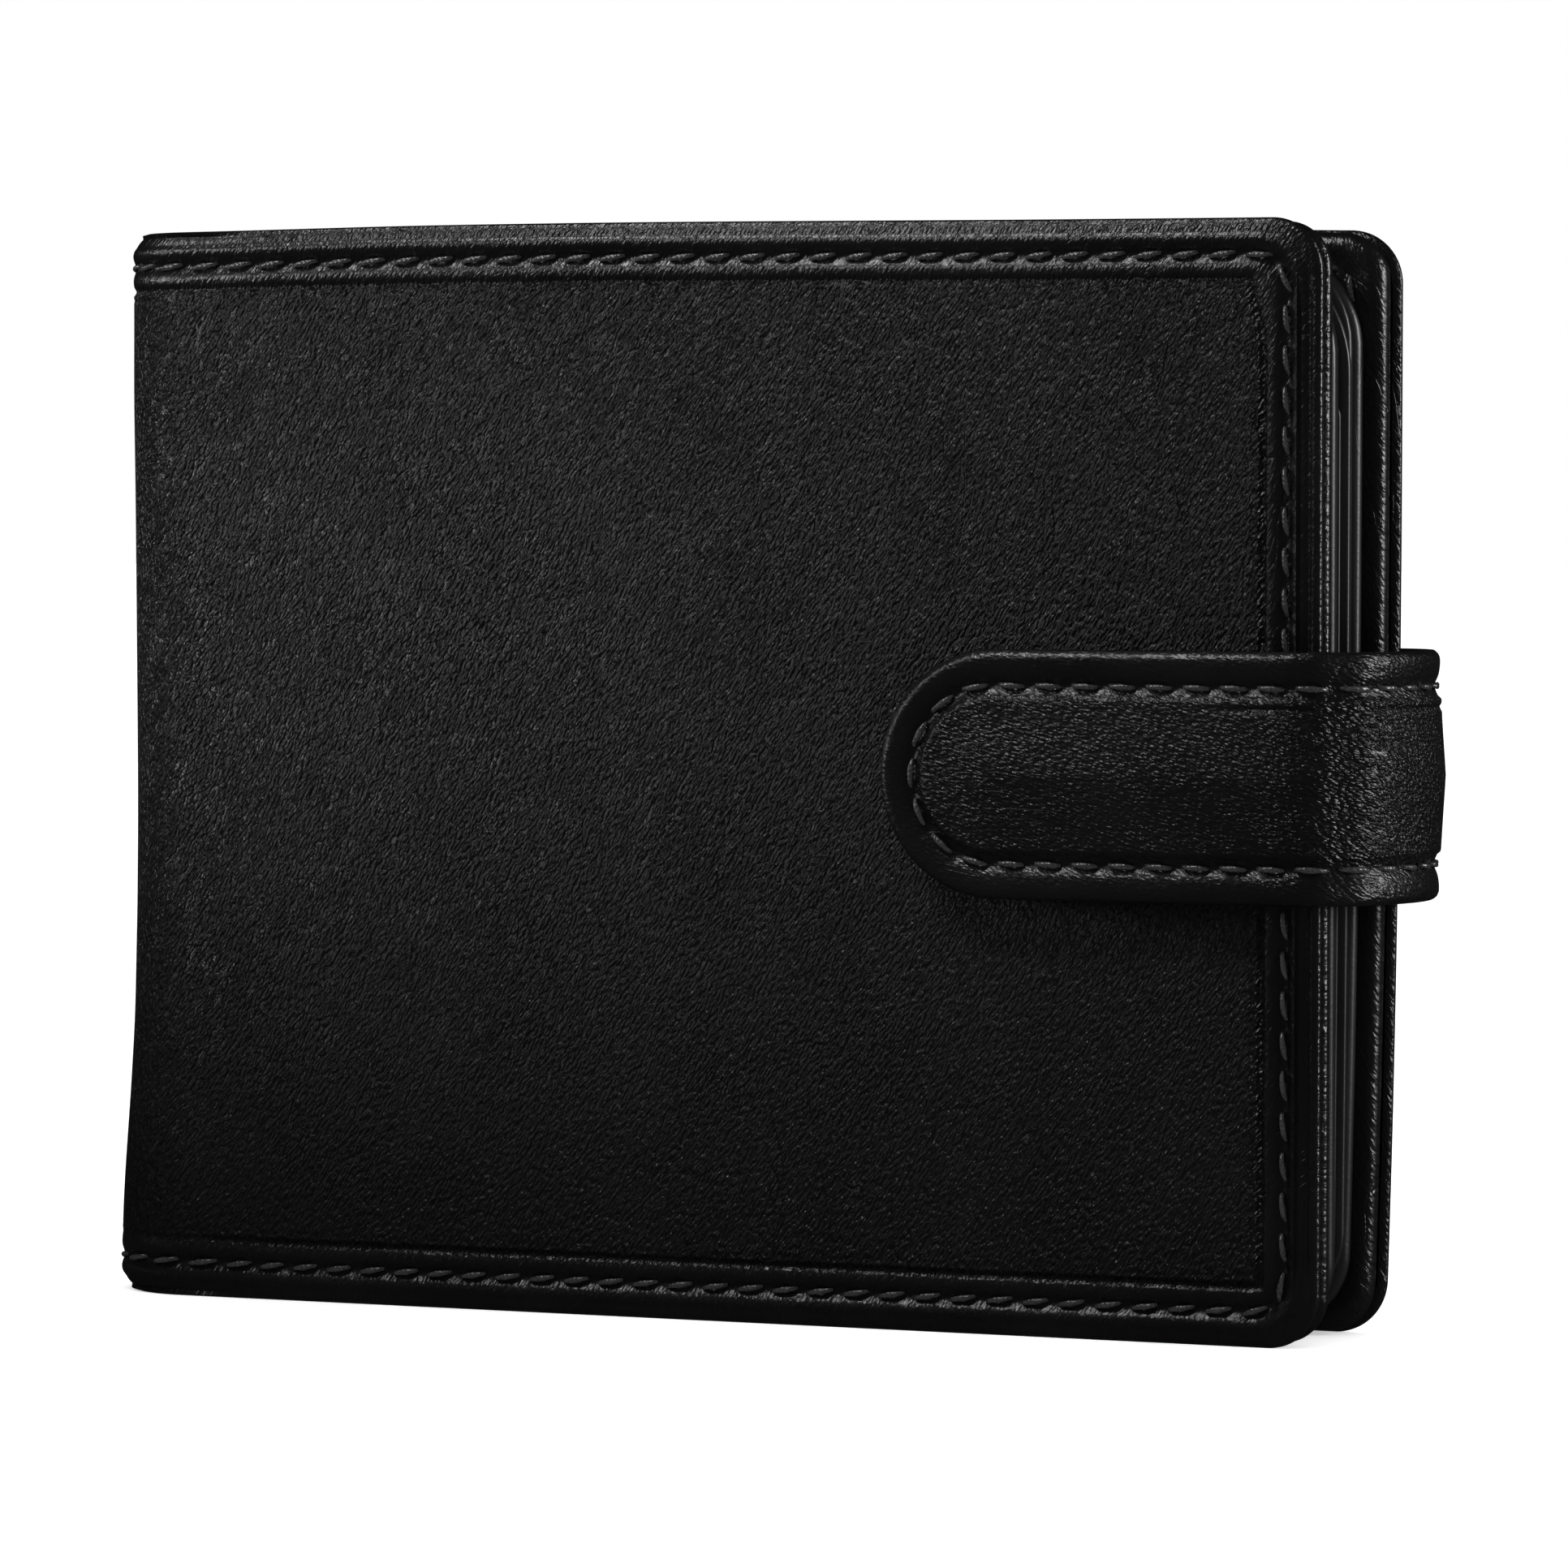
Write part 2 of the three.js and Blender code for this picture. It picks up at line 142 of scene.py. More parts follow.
# ------------ the flat outline of a layer
class Outline:
    """A rectangle with rounded corners. corners are radii: bottom right, top right, top left,
    bottom left. With cut, the left side is no edge but the middle line where two halves meet."""

    def __init__(self, u0, u1, v0, v1, corners, square, cut=False):
        self.u0, self.u1, self.v0, self.v1 = u0, u1, v0, v1
        self.square, self.cut = square, cut
        self.left = u0 if cut else u0 + square
        br, tr, tl, bl = corners
        c = square
        self.corners = [(u1 - c, v0 + c, 1, -1, br), (u1 - c, v1 - c, 1, 1, tr)]
        if not cut:
            self.corners += [(u0 + c, v1 - c, -1, 1, tl), (u0 + c, v0 + c, -1, -1, bl)]

    def inset(self, u, v):
        d = np.minimum(np.minimum(self.u1 - u, v - self.v0), self.v1 - v)
        return d if self.cut else np.minimum(d, u - self.u0)

    def shift(self, u, v, d_from, d_to):
        """Moves points of the ring at inset d_from to the ring at inset d_to."""
        c = self.square
        k = (c - d_to) / (c - d_from)
        u = np.where(u > self.u1 - c, self.u1 - c + (u - self.u1 + c) * k, u)
        if not self.cut:
            u = np.where(u < self.u0 + c, self.u0 + c - (self.u0 + c - u) * k, u)
        v = np.where(v > self.v1 - c, self.v1 - c + (v - self.v1 + c) * k, v)
        v = np.where(v < self.v0 + c, self.v0 + c - (self.v0 + c - v) * k, v)
        return u, v

    def rounded(self, u, v):
        """The flat place of a grid point: rings round the corners instead of turning square."""
        u, v = np.array(u, float), np.array(v, float)
        for cu, cv, su, sv, radius in self.corners:
            a, b = (u - cu) * su / self.square, (v - cv) * sv / self.square
            inside = (a > 0) & (b > 0)
            if not inside.any() or radius <= 0:
                continue
            a, b = a[inside], b[inside]
            m = np.maximum(a, b)
            t = np.where(a >= b, 0.5 * b / m, 1 - 0.5 * a / m)
            r = m * radius / self.square
            straight = m - r
            length = 2 * straight + r * math.pi / 2
            s = t * length
            turn = np.clip((s - straight) / np.maximum(r, 1e-9), 0, math.pi / 2)
            x = np.where(s < straight, m, np.where(s > length - straight, length - s,
                                                   straight + r * np.cos(turn)))
            y = np.where(s < straight, s, np.where(s > length - straight, m,
                                                   straight + r * np.sin(turn)))
            u[inside] = cu + su * x * self.square
            v[inside] = cv + sv * y * self.square
        return u, v

    def corner_length(self, radius, d):
        m = (self.square - d) / self.square
        r = m * radius / self.square
        return self.square * (2 * (m - r) + r * math.pi / 2)

    def spans(self, d):
        """The edge in order: bottom, right, top and left sides with the corners between."""
        c = self.square
        wide, tall = self.u1 - c - self.left, self.v1 - self.v0 - 2 * c
        turns = [(k, self.corner_length(corner[4], d)) for k, corner in enumerate(self.corners)]
        spans = [("bottom", wide), turns[0], ("right", tall), turns[1], ("top", wide)]
        return spans if self.cut else spans + [turns[2], ("left", tall), turns[3]]

    def length(self, d):
        return sum(s[1] for s in self.spans(d))

    def along(self, u, v, d=STITCH_INSET):
        """How far along the edge each grid point is, starting at the left end of the bottom."""
        c, left = self.square, self.left
        result = np.zeros(np.shape(u))
        near = [v - self.v0, self.u1 - u, self.v1 - v]
        if not self.cut:
            near.append(u - self.u0)
        side = np.argmin(near, axis=0)
        start = 0
        for name, size in self.spans(d):
            if isinstance(name, int):
                cu, cv, su, sv, _ = self.corners[name]
                a, b = (u - cu) * su / c, (v - cv) * sv / c
                inside = (a > 0) & (b > 0)
                m = np.maximum(np.maximum(a, b), 1e-9)
                t = np.where(a >= b, 0.5 * b / m, 1 - 0.5 * a / m)
                t = 1 - t if name in (0, 2) else t
                result = np.where(inside, start + t * size, result)
            else:
                which = ("bottom", "right", "top", "left").index(name)
                position = (u - left, v - self.v0 - c, self.u1 - c - u, self.v1 - c - v)[which]
                fits = (side == which) & (position >= 0) & (position <= size)
                result = np.where(fits, start + position, result)
            start += size
        return result

    def edge_point(self, s, d):
        """The grid point at distance s along the edge, inset by d."""
        c = self.square
        for name, size in [span for span in self.spans(STITCH_INSET) if span[1] > 0]:
            if s <= size:
                break
            s -= size
        else:
            s = size
        if isinstance(name, int):
            cu, cv, su, sv, _ = self.corners[name]
            t = s / size
            t = 1 - t if name in (0, 2) else t
            m = (c - d) / c
            a, b = (m, 2 * m * t) if t < 0.5 else (2 * m * (1 - t), m)
            return cu + su * a * c, cv + sv * b * c
        return {"bottom": (self.left + s, self.v0 + d), "right": (self.u1 - d, self.v0 + c + s),
                "top": (self.u1 - c - s, self.v1 - d), "left": (self.u0 + d, self.v1 - c - s)}[name]


# ------------ from flat to the real place
def settle(x, y, z):
    """The small sag and spread of a used wallet, the same for every layer."""
    along = (x - SPINE_X) / (FREE - SPINE_X)
    high = z / HEIGHT
    spine = 1 - smooth(SPINE_X, SPINE_X + 14, x)
    flare = (1.05 + 1.5 * hump(high, 0.03, 0.16) + 0.25 * hump(high, 1.0, 0.2)
             - 0.25 * hump(high, 0.5, 0.25))
    ends = np.minimum(z, HEIGHT - z)
    close = np.clip(1 - ends / SPINE_ROUND, 0, 1)
    tuck = 2.2 * (1 - np.sqrt(1 - close**2)) * np.clip((BEND_X - x) / HALF_THICK, 0, 1)
    x = x - spine * flare + tuck
    rear = smooth(-4, 6, y)
    x = x - rear * smooth(0.5, 1, along) * (1.1 * np.clip(1 - high, 0, 1) ** 3 - 0.62)
    bulge = 0.25 * hump(along, 0.42, 0.3) - 0.22 * (1 - smooth(0, 0.3, along))
    z = z + smooth(0.5, 1, high) * bulge
    z = z - smooth(0.6, 1, high) * smooth(0.7, 1.0, along) * rear * 0.7
    return x, y, z


def wallet_place(u, v, level, side):
    """u along, v up, level out from the middle plane."""
    angle = np.clip((BEND_X - u) / HALF_THICK, 0, math.pi / 2)
    flat = np.maximum(u, BEND_X)
    x = np.where(u >= BEND_X, flat, BEND_X - level * np.sin(angle))
    y = side * np.where(u >= BEND_X, level, level * np.cos(angle))
    return np.stack(settle(x, y, v), -1)


def strap_place(u, v, level, side):
    """u from the middle of the bridge, v across the strap, level out from its inner face."""
    turn = np.clip((u - BRIDGE_END) / STRAP_REF, 0, math.pi / 2)
    radius = STRAP_BEND + level * (1 - 0.34 * hump(u, (BRIDGE_END + FLAP_START) / 2, 2.4))
    run = np.maximum(u - FLAP_START, 0)
    full = 1 - np.clip(u / (BRIDGE_END + 3), 0, 1) ** 2
    x = FREE + radius * np.cos(turn) - run + 1.5 * full**2
    y = side * (np.minimum(u, BRIDGE_END) + radius * np.sin(turn))
    return np.stack([x, y, v + STRAP_Z], -1)


# ------------ meshes
def make_object(name, points, faces, uvs, material, smooth_angle=50):
    """A closed mesh from points in mm, its faces turned outwards, with the flat layout as its UVs."""
    mesh = bpy.data.meshes.new(name)
    mesh.from_pydata((np.asarray(points) * MM).tolist(), [], faces)
    work = bmesh.new()
    work.from_mesh(mesh)
    if work.calc_volume(signed=True) < 0:
        bmesh.ops.reverse_faces(work, faces=work.faces)
        work.to_mesh(mesh)
    work.free()
    layer = mesh.uv_layers.new(name="flat")
    index = np.zeros(len(mesh.loops), int)
    mesh.loops.foreach_get("vertex_index", index)
    layer.data.foreach_set("uv", (np.asarray(uvs)[index] * MM).astype(np.float32).ravel())
    mesh.polygons.foreach_set("use_smooth", [True] * len(mesh.polygons))
    mesh.set_sharp_from_angle(angle=math.radians(smooth_angle))
    mesh.materials.append(material)
    obj = bpy.data.objects.new(name, mesh)
    bpy.context.scene.collection.objects.link(obj)
    return obj


def loop_of(nu, nv):
    """The rows and columns of a grid's outer loop, starting at the bottom left."""
    i = np.concatenate([np.arange(nu), np.full(nv - 1, nu - 1), np.arange(nu - 2, -1, -1),
                        np.zeros(nv - 2, int)])
    j = np.concatenate([np.zeros(nu, int), np.arange(1, nv), np.full(nu - 1, nv - 1),
                        np.arange(nv - 2, 0, -1)])
    return i, j


def ring_faces(rows, count, closed=False, first=0):
    """The faces between rings of count points each. closed joins the last ring to the first one,
    otherwise a face caps either end."""
    faces = []
    for i in range(rows if closed else rows - 1):
        a, b = first + i * count, first + (i + 1) % rows * count
        for k in range(count):
            n = (k + 1) % count
            faces.append([a + k, a + n, b + n, b + k])
    if not closed:
        faces.append([first + k for k in range(count)][::-1])
        faces.append([first + (rows - 1) * count + k for k in range(count)])
    return faces


def coarse_faces(at, nu, nv, ki, kj):
    """Large cells inside the fine outer loop, which keep the loop's points on their border."""
    faces = []
    for p0, p1 in zip(ki[:-1], ki[1:]):
        for q0, q1 in zip(kj[:-1], kj[1:]):
            low = [(p, q0) for p in (range(p0, p1 + 1) if q0 == 0 else (p0, p1))]
            right = [(p1, q) for q in (range(q0, q1 + 1) if p1 == nu - 1 else (q0, q1))]
            top = [(p, q1) for p in (range(p1, p0 - 1, -1) if q1 == nv - 1 else (p1, p0))]
            left = [(p0, q) for q in (range(q1, q0 - 1, -1) if p0 == 0 else (q1, q0))]
            faces.append([at[k] for k in low[:-1] + right[:-1] + top[:-1] + left[:-1]][::-1])
    return faces


def layer_mesh(name, outline, place, side, u_lines, v_lines, outer, rolls, material, coarse=5,
               fine_inner=None, plain=(4.5, 5.3, 0.16), more=None, border=None):
    """A closed sheet. outer(inset, along, u, v) is the level of its outer face. rolls is its edge
    from there to the inner face, as pairs of inset and level. The inner face is flat, or
    fine_inner(inset, along, u, v) away from that level. plain is the inset where the border's
    fainter grain ends, with its strength, more(u) strengthens the grain, and border, a width and
    a material, gives the edge another finish."""
    nu, nv = len(u_lines), len(v_lines)
    gu, gv = np.meshgrid(u_lines, v_lines, indexing="ij")
    inset, along = outline.inset(gu, gv), outline.along(gu, gv)
    fu, fv = outline.rounded(gu, gv)
    points = [place(fu, fv, outer(inset, along, fu, fv), side).reshape(-1, 3)]
    uvs = [np.stack([-side * (fu - U_START), fv], -1).reshape(-1, 2)]
    grid = np.arange(nu * nv).reshape(nu, nv)
    quads = np.stack([grid[:-1, :-1], grid[1:, :-1], grid[1:, 1:], grid[:-1, 1:]], -1)
    faces = quads.reshape(-1, 4).tolist()
    loop_i, loop_j = loop_of(nu, nv)
    ring, count, start = grid[loop_i, loop_j], len(loop_i), v_lines[0] - outline.v0
    total = nu * nv
    for d, level in rolls:
        u, v = outline.shift(gu[loop_i, loop_j], gv[loop_i, loop_j], start, d)
        u, v = outline.rounded(u, v)
        points.append(place(u, v, np.full(count, float(level)), side))
        uvs.append(np.stack([-side * (u - U_START), v + 0.7 * (start - d)], -1))
        new = np.arange(total, total + count)
        faces += np.stack([np.roll(ring, -1), ring, new, np.roll(new, -1)], -1).tolist()
        ring = new
        total += count
    inner_level = rolls[-1][1]
    if fine_inner is not None:
        coarse = 1
    ki = list(range(0, nu - 1, coarse)) + [nu - 1]
    kj = list(range(0, nv - 1, coarse)) + [nv - 1]
    at = {(int(p), int(q)): int(k) for p, q, k in zip(loop_i, loop_j, ring)}
    p, q = np.meshgrid(ki[1:-1], kj[1:-1], indexing="ij")
    u, v = outline.rounded(gu[p, q], gv[p, q])
    level = np.full(u.shape, float(inner_level))
    if fine_inner is not None:
        level = level + fine_inner(inset[p, q], along[p, q], u, v)
    points.append(place(u, v, level, side).reshape(-1, 3))
    uvs.append(np.stack([-side * (u - U_START) + BACK_LAYOUT, v], -1).reshape(-1, 2))
    for number, key in enumerate(zip(p.ravel().tolist(), q.ravel().tolist())):
        at[key] = total + number
    faces += coarse_faces(at, nu, nv, ki, kj)
    piece = make_object(name, np.concatenate(points), faces, np.concatenate(uvs), material)
    grain = np.full(len(piece.data.vertices), plain[2])
    full = plain[2] + (1 - plain[2]) * smooth(plain[0], plain[1], inset)
    grain[:nu * nv] = (full * (more(fu) if more else 1)).ravel()
    layer = piece.data.attributes.new("grain", "FLOAT", "POINT")
    layer.data.foreach_set("value", grain.astype(np.float32))
    if border:
        depth = np.concatenate([inset.ravel(), np.zeros(count * len(rolls)), inset[p, q].ravel()])
        piece.data.materials.append(border[1])
        for polygon in piece.data.polygons:
            if depth[list(polygon.vertices)].mean() < border[0]:
                polygon.material_index = 1
    return piece


def stitches(name, spots, side, radius=THREAD_RADIUS, place=wallet_place):
    """Separate twisted stitches. A spot is u, v, level, and the stitch's direction in u and v.
    A negative radius is for thread on an inner face: it turns the stitch's back outwards."""
    steps, sides = 11, 9
    t = np.linspace(-1, 1, steps)[:, None]
    phi = (np.arange(sides) * 2 * math.pi / sides)[None, :]
    out_sign = math.copysign(1, radius)
    run = t * STITCH_LENGTH / 2
    lift = out_sign * (0.36 * (1 - np.abs(t) ** 2.6) - 0.22)
    thick = abs(radius) * (1 - 0.5 * np.abs(t) ** 5) * (1 + 0.14 * np.cos(2 * phi + 5.2 * t))
    across, out = thick * np.cos(phi), thick * np.sin(phi) * 0.85
    points, faces, uvs = [], [], []
    for number, (u, v, level, du, dv) in enumerate(spots):
        p = place(u + run * du - across * dv, v + run * dv + across * du, level + lift + out, side)
        points.append(p.reshape(-1, 3))
        uvs.append(np.stack([run + 0 * across + number * 4, across], -1).reshape(-1, 2))
        faces += ring_faces(steps, sides, first=number * steps * sides)
    row = make_object(name, np.concatenate(points), faces, np.concatenate(uvs), THREAD, 75)
    return row


def edge_spots(outline, level, slant, drop=None, keep=None):
    """Stitch places all along an outline's edge. slant turns each stitch against the edge,
    drop(u) lowers it and keep(u, v) says which stay."""
    total = outline.length(STITCH_INSET)
    count = round(total / PITCH)
    step = total / count
    spots = []
    for k in range(count):
        s = (k + 0.5) * step
        near = [outline.edge_point(s + shift, STITCH_INSET) for shift in (-0.3, 0.3)]
        ends = [np.array(outline.rounded([p[0]], [p[1]])).ravel() for p in near]
        middle, direction = (ends[0] + ends[1]) / 2, ends[1] - ends[0]
        direction /= np.linalg.norm(direction)
        if keep and not keep(*middle):
            continue
        c, n = math.cos(slant), math.sin(slant)
        spots.append((*middle, level - (drop(middle[0]) if drop else 0),
                      c * direction[0] - n * direction[1], n * direction[0] + c * direction[1]))
    return spots


def stitch_step(outline):
    total = outline.length(STITCH_INSET)
    return total / round(total / PITCH)


def holes(along, step):
    """Distance along the edge to the nearest stitch hole."""
    return np.abs((along / step + 0.5) % 1 - 0.5) * step


# ------------ materials
def new_material(name):
    material = bpy.data.materials.new(name)
    material.use_nodes = True
    tree = material.node_tree
    shader = tree.nodes["Principled BSDF"]
    return material, tree, shader


def set_inputs(tree, made, inputs):
    """Links or sets each input, by its name."""
    for key, value in inputs.items():
        if isinstance(value, bpy.types.NodeSocket):
            tree.links.new(value, made.inputs[key])
        else:
            made.inputs[key].default_value = value


def node(tree, kind, inputs=None, **settings):
    made = tree.nodes.new(kind)
    for key, value in settings.items():
        setattr(made, key, value)
    set_inputs(tree, made, inputs or {})
    return made


def object_coords(tree):
    return node(tree, "ShaderNodeTexCoord").outputs["Object"]


def flat_coords(tree, angle=0.0, scale=(1, 1, 1), solid=False):
    """The flat layout in metres, turned by an angle and then stretched. solid is for a piece
    without a layout."""
    place = object_coords(tree) if solid else node(tree, "ShaderNodeUVMap",
                                                   uv_map="flat").outputs["UV"]
    turned = node(tree, "ShaderNodeVectorRotate", {"Vector": place, "Angle": angle},
                  rotation_type="Z_AXIS")
    return node(tree, "ShaderNodeVectorMath", {0: turned.outputs["Vector"], 1: scale},
                operation="MULTIPLY").outputs["Vector"]


def math_node(tree, operation, a, b=0.0):
    return node(tree, "ShaderNodeMath", {0: a, 1: b}, operation=operation).outputs[0]


def ramp(tree, value, low, high, out_low=0.0, out_high=1.0):
    return node(tree, "ShaderNodeMapRange", {"Value": value, "From Min": low, "From Max": high,
                                             "To Min": out_low, "To Max": out_high},
                interpolation_type="SMOOTHSTEP").outputs["Result"]


def noise(tree, vector, scale, detail=2.0, rough=0.5, distortion=0.0):
    return node(tree, "ShaderNodeTexNoise", {"Vector": vector, "Scale": scale, "Detail": detail,
                                             "Roughness": rough,
                                             "Distortion": distortion}).outputs["Fac"]


def bump(tree, height, depth, strength=1.0):
    """The normal of a surface that height, from 0 to 1, raises by up to depth metres."""
    return node(tree, "ShaderNodeBump", {"Height": height, "Strength": strength,
                                         "Distance": depth}).outputs["Normal"]


def grey(tree, tone):
    return node(tree, "ShaderNodeCombineColor", {"Red": tone, "Green": tone,
                                                 "Blue": tone}).outputs[0]


def two_tones(tree, factor, first, second):
    tone = node(tree, "ShaderNodeMix", {"Factor": factor}, data_type="RGBA")
    tone.inputs["A"].default_value = (*first, 1)
    tone.inputs["B"].default_value = (*second, 1)
    return tone.outputs["Result"]


def thin_lines(tree, value, middle, width, where):
    """Thin lines, from 0 to 1, where value crosses middle."""
    off = math_node(tree, "ABSOLUTE", math_node(tree, "SUBTRACT", value, middle))
    return math_node(tree, "MULTIPLY", ramp(tree, off, 0.0, width, 1.0, 0.0), where)


def leather(name, colour, rough, grain, grain_depth, pebble_depth, crease_depth, lean=60.0):
    """Black leather: fine slanting grain, pebbles, short folds and a few long creases in patches,
    uneven polish. grain is the noise's scale per metre, the depths are in mm, and lean is the
    grain's slant in degrees."""
    material, tree, shader = new_material(name)
    plain = flat_coords(tree)
    amount = node(tree, "ShaderNodeAttribute", attribute_name="grain").outputs["Fac"]
    slanted = flat_coords(tree, math.radians(-lean), (1.0, 2.3, 1.0))
    steeper = flat_coords(tree, math.radians(-lean - 20), (1.0, 2.2, 1.0))
    second = math_node(tree, "MULTIPLY", 0.5, noise(tree, steeper, grain * 0.5, 1.0))
    fine = math_node(tree, "ADD", noise(tree, slanted, grain * 0.62, 2.0, 0.5), second)
    fine = math_node(tree, "SUBTRACT", fine, 0.75)
    pebble = node(tree, "ShaderNodeTexVoronoi", {"Vector": slanted, "Scale": grain * 0.72},
                  feature="F1").outputs["Distance"]
    pebble = ramp(tree, pebble, 0.1, 0.85, 1.0, 0.0)
    patches = ramp(tree, noise(tree, plain, 55.0, 2.0), 0.47, 0.62)
    streaks = flat_coords(tree, math.radians(16 - lean), (1.0, 6.0, 1.0))
    fold = thin_lines(tree, noise(tree, streaks, 150.0, 2.0, 0.5, 0.25), 0.5, 0.02, patches)
    upright = flat_coords(tree, math.radians(-lean - 24), (1.0, 5.0, 1.0))
    rare = ramp(tree, noise(tree, plain, 21.0, 1.0), 0.5, 0.62)
    crease = thin_lines(tree, noise(tree, upright, 52.0, 2.0, 0.5, 0.3), 0.52, 0.007, rare)
    ridges = flat_coords(tree, math.radians(-lean), (1.0, 5.0, 1.0))
    swell = ramp(tree, noise(tree, ridges, 230.0, 2.0), 0.38, 0.62, 0.5, 1.5)
    height = math_node(tree, "MULTIPLY", fine, math_node(tree, "MULTIPLY", swell, grain_depth))
    height = math_node(tree, "ADD", height, math_node(tree, "MULTIPLY", pebble, pebble_depth))
    height = math_node(tree, "SUBTRACT", height, math_node(tree, "MULTIPLY", fold, crease_depth))
    height = math_node(tree, "SUBTRACT", height,
                       math_node(tree, "MULTIPLY", crease, crease_depth * 1.4))
    height = math_node(tree, "MULTIPLY", height, amount)
    polish = noise(tree, plain, 60.0, 4.0, 0.6)
    level = math_node(tree, "ADD", ramp(tree, polish, 0.3, 0.7, rough - 0.01, rough + 0.03),
                      ramp(tree, amount, 0.3, 1.0, -0.03, 0.0))
    worn = [c * 1.5 for c in colour]
    set_inputs(tree, shader, {
        "Normal": bump(tree, height, MM),
        "Roughness": level,
        "Base Color": two_tones(tree, ramp(tree, polish, 0.3, 0.75), colour, worn),
    })
    return material


def split_material():
    """The plain leather of strips and fillings."""
    material, tree, shader = new_material("split_leather")
    fibre = noise(tree, flat_coords(tree, solid=True), 1600.0, 4.0, 0.65)
    set_inputs(tree, shader, {
        "Normal": bump(tree, fibre, 0.00008, 0.6),
        "Base Color": grey(tree, ramp(tree, fibre, 0.3, 0.7, 0.006, 0.014)),
        "Roughness": 0.6,
    })
    return material


def thread_material():
    """Waxed black thread, twisted from strands."""
    material, tree, shader = new_material("thread_twist")
    twist = node(tree, "ShaderNodeTexWave", {"Vector": flat_coords(tree, math.radians(35)),
                                             "Scale": 900.0, "Distortion": 1.0})
    fuzz = noise(tree, flat_coords(tree), 6000.0)
    height = math_node(tree, "ADD", twist.outputs["Fac"], math_node(tree, "MULTIPLY", fuzz, 0.4))
    set_inputs(tree, shader, {
        "Normal": bump(tree, height, 0.00003, 0.8),
        "Base Color": grey(tree, ramp(tree, fuzz, 0.3, 0.7, 0.012, 0.03)),
        "Roughness": 0.30,
        "Specular IOR Level": 0.9,
    })
    return material


def weave_material():
    """The woven lining of the note compartment."""
    material, tree, shader = new_material("woven_lining")
    plain = flat_coords(tree)
    waves = [node(tree, "ShaderNodeTexWave", {"Vector": plain, "Scale": 900.0, "Distortion": 0.4},
                  bands_direction=axis).outputs["Fac"] for axis in ("X", "Y")]
    over = math_node(tree, "MAXIMUM", waves[0], waves[1])
    tone = math_node(tree, "ADD", math_node(tree, "MULTIPLY", over, 0.008),
                     ramp(tree, noise(tree, plain, 90.0), 0.3, 0.7, 0.003, 0.005))
    set_inputs(tree, shader, {
        "Normal": bump(tree, over, 0.00006, 0.7),
        "Base Color": grey(tree, tone),
        "Roughness": 0.7,
        "Sheen Weight": 0.05,
    })
    return material


def board_material():
    """The fibre board that keeps each cover flat."""
    material, tree, shader = new_material("fibre_board")
    speck = noise(tree, object_coords(tree), 1500.0, 5.0, 0.7)
    tone = two_tones(tree, ramp(tree, speck, 0.3, 0.7), (0.10, 0.09, 0.07), (0.19, 0.17, 0.14))
    set_inputs(tree, shader, {
        "Base Color": tone,
        "Normal": bump(tree, speck, 0.0001, 0.5),
        "Roughness": 0.85,
    })
    return material


def metal_material():
    """The worn nickel plate of the press stud."""
    material, tree, shader = new_material("nickel_plate")
    wear = noise(tree, object_coords(tree), 900.0, 5.0, 0.7)
    tone = two_tones(tree, ramp(tree, wear, 0.35, 0.7), (0.62, 0.61, 0.59), (0.48, 0.47, 0.45))
    set_inputs(tree, shader, {
        "Roughness": ramp(tree, wear, 0.3, 0.75, 0.18, 0.36),
        "Base Color": tone,
        "Metallic": 1.0,
        "Normal": bump(tree, wear, 0.00005, 0.15),
    })
    return material


def film_material():
    """The clear film of the centre leaf's window."""
    material, tree, shader = new_material("clear_film")
    ripple = noise(tree, flat_coords(tree), 60.0, 2.0)
    set_inputs(tree, shader, {
        "Normal": bump(tree, ripple, 0.0004, 0.4),
        "Roughness": ramp(tree, ripple, 0.3, 0.7, 0.06, 0.16),
        "Base Color": (0.05, 0.052, 0.055, 1),
        "Alpha": 0.22,
        "IOR": 1.5,
    })
    return material


COVER_LEATHER = leather("cover_leather_black", (0.0024, 0.0024, 0.0025), 0.30, 2400.0,
                        0.48, 0.16, 0.14)
TAB_LEATHER = leather("tab_leather_black", (0.0024, 0.0024, 0.0025), 0.30, 2700.0,
                      0.12, 0.06, 0.02, 22.0)
INNER_LEATHER = leather("inner_leather_black", (0.006, 0.006, 0.0062), 0.36, 2600.0,
                        0.05, 0.02, 0.02)
STRIP_LEATHER = split_material()
THREAD = thread_material()
WEAVE = weave_material()
BOARD = board_material()
METAL = metal_material()
FILM = film_material()

# ------------ rounded edges
EDGE_START = 1 - math.cos(math.radians(50))


def round_off(inset, depth, half):
    """How far a rounded edge has dropped from its face."""
    t = 1 - np.clip(inset / depth, 0, 1)
    return half * (1 - np.sqrt(np.clip(1 - t**2, 0, 1)))


def roll_edge(mid, half, depth=None, start=35, stop=-90, steps=7):
    """Insets and levels round an edge, from the fine face to the back. half is the edge's
    half thickness, and negative where the fine face is the lower one."""
    depth = depth or abs(half)
    spots = []
    for angle in np.radians(np.linspace(start, stop, steps)):
        back = 1 - math.cos(angle)
        flat = min(1.0, back / EDGE_START) ** 0.7
        spots.append((depth * back * flat, mid + half * math.sin(angle)))
    return spots


def first_line(depth):
    """The inset of a face's outermost grid line, where its rolled edge begins."""
    return depth * EDGE_START


# ------------ covers
STUD_X = (node_box("snap_stud")[0][0] + node_box("snap_stud")[1][0]) / 2
FINE, COARSE = ((0.16, 0.5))
ROLL, ROLL_DEPTH = 0.65, 1.3
COVER_D0 = first_line(ROLL_DEPTH)
COVER_BAND = 6.6
COVER_MID = HALF_THICK - ROLL
COVER_OUTLINE = Outline(U_START, FREE, 0, HEIGHT, (COVER_CORNER, COVER_CORNER, 0, 0), 9.0, cut=True)
COVER_STEP = stitch_step(COVER_OUTLINE)
SLANT = math.radians(9)
